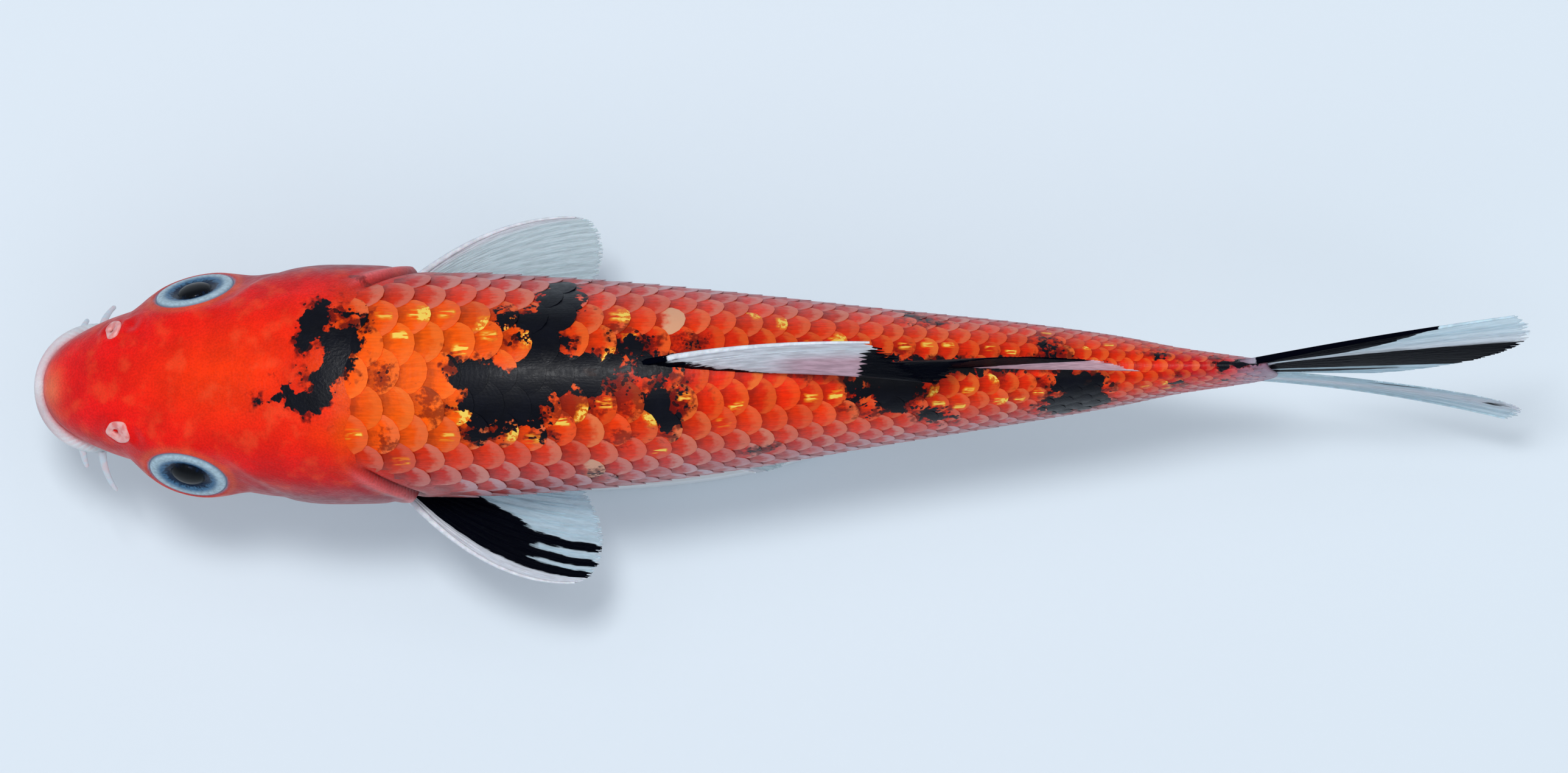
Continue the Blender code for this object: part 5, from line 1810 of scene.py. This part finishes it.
def stand_point(points):
    """Stand pieces are drawn from the floor up, in millimetres."""
    return np.asarray(points) - (-STAND_STATION, 0.0, BODY_LINE)


def rounded(radius, low, high, edge, steps=6):
    """A disc's outline with rounded edges."""
    turns = np.linspace(0, math.pi / 2, steps)
    lower = [(radius - edge + edge * math.sin(t), low + edge - edge * math.cos(t)) for t in turns]
    upper = [(radius - edge + edge * math.cos(t), high - edge + edge * math.sin(t)) for t in turns]
    return lower + upper


BASE_LENGTH, BASE_WIDTH, BASE_HEIGHT = 78, 21, 5.0
edge = rounded(BASE_LENGTH / 2, 0.0, BASE_HEIGHT, 0.7)
points, faces = turned([(0, 0.0)] + edge + [(0, BASE_HEIGHT)], (0, 0, 0), (0, 0, 1.0), 128)
squeezed = points * (1, BASE_WIDTH / BASE_LENGTH, 1)
oval = mesh_of("stand_oval", stand_point(squeezed), faces, 40)
piece("stand_oval", oval, base_finish(), ("stand_base",))
STEEL = steel_finish()
for word, station in (("front", 50.0), ("rear", 83.0)):
    top = BODY_LINE + float(belly_line(np.array(station))[2]) + 0.6
    outline = [(0, 5.3), (2.2, 5.3), (3.0, 5.35), (3.0, 6.0), (2.9, 6.2), (1.7, 6.8), (1.5, 7.2)]
    outline += [(1.5, top - 4.0), (1.6, top - 3.6), (2.5, top - 2.0), (2.6, top - 1.7), (2.6, top), (0, top)]
    centre = (station - STAND_STATION, float(sway(station)), 0)
    points, faces = turned(outline, centre, (0, 0, 1.0), 48)
    rod = mesh_of(f"stand_steel_{word}", stand_point(points), faces, 40)
    piece(f"stand_steel_{word}", rod, STEEL, (f"stand_rod_{word}",))

# %% [markdown]
# ## Floor, light and camera
# The model stands on a plain pale floor. A small strong lamp overhead throws the fish's shadow on it, a wide
# lamp and a pale room fill that shadow softly, as in a studio. The camera looks down from four degrees off
# straight above, through a long lens from well over a metre, so that the fish keeps its proportions.

# %% The floor
def in_scene(name, data, *place):
    obj = bpy.data.objects.new(name, data)
    bpy.context.scene.collection.objects.link(obj)
    if place:
        obj.location = place[0]
        obj.rotation_euler = (Vector(place[1]) - Vector(place[0])).to_track_quat("-Z", "Y").to_euler()
    return obj


FLOOR_HALF = 3.0  # metres
floor_mesh = bpy.data.meshes.new("floor")
corners = [(x * FLOOR_HALF, y * FLOOR_HALF, 0) for x, y in ((-1, -1), (1, -1), (1, 1), (-1, 1))]
floor_mesh.from_pydata(corners, [], [(0, 1, 2, 3)])
paper = Finish("floor", Roughness=0.9)
paper.give("Base Color", paint(228, 238, 246))
floor_mesh.materials.append(paper.material)
floor = in_scene("floor", floor_mesh)
print("the floor is", 2 * FLOOR_HALF, "m wide")

# %% The lamps and the room
FISH_MIDDLE = Vector((0.02775, -0.00022, BODY_LINE * MM))


def lamp(name, place, size, power, colour):
    light = bpy.data.lights.new(name, "AREA")
    light.size, light.energy, light.color = size, power, colour
    return in_scene(name, light, place, FISH_MIDDLE)


key = lamp("key", (-0.06, 0.12, 1.25), 0.16, 6.0, (1.0, 1.0, 1.0))
fill = lamp("fill", (0.0, -0.2, 1.6), 1.6, 8.0, (0.92, 0.96, 1.0))
world = bpy.data.worlds.new("room")
world.use_nodes = True
world.node_tree.nodes["Background"].inputs["Color"].default_value = (0.86, 0.92, 1.0, 1)
world.node_tree.nodes["Background"].inputs["Strength"].default_value = 0.4
bpy.context.scene.world = world
bpy.context.scene.view_settings.view_transform = "Standard"
print("lamps: the small one", key.data.energy, "W, the wide one", fill.data.energy, "W")

# %% The camera
FROM_ABOVE, DISTANCE = math.radians(86), 1.2
lens = bpy.data.cameras.new("camera")
lens.lens, lens.sensor_width = 227.8, 36
lens.clip_start, lens.clip_end = 0.05, 20
camera = in_scene("camera", lens)
camera.location = FISH_MIDDLE + DISTANCE * Vector((0, -math.cos(FROM_ABOVE), math.sin(FROM_ABOVE)))
camera.rotation_euler = (math.pi / 2 - FROM_ABOVE, 0, 0)
bpy.context.scene.camera = camera
print(f"the camera stands {camera.location.z:.3f} m over the floor")
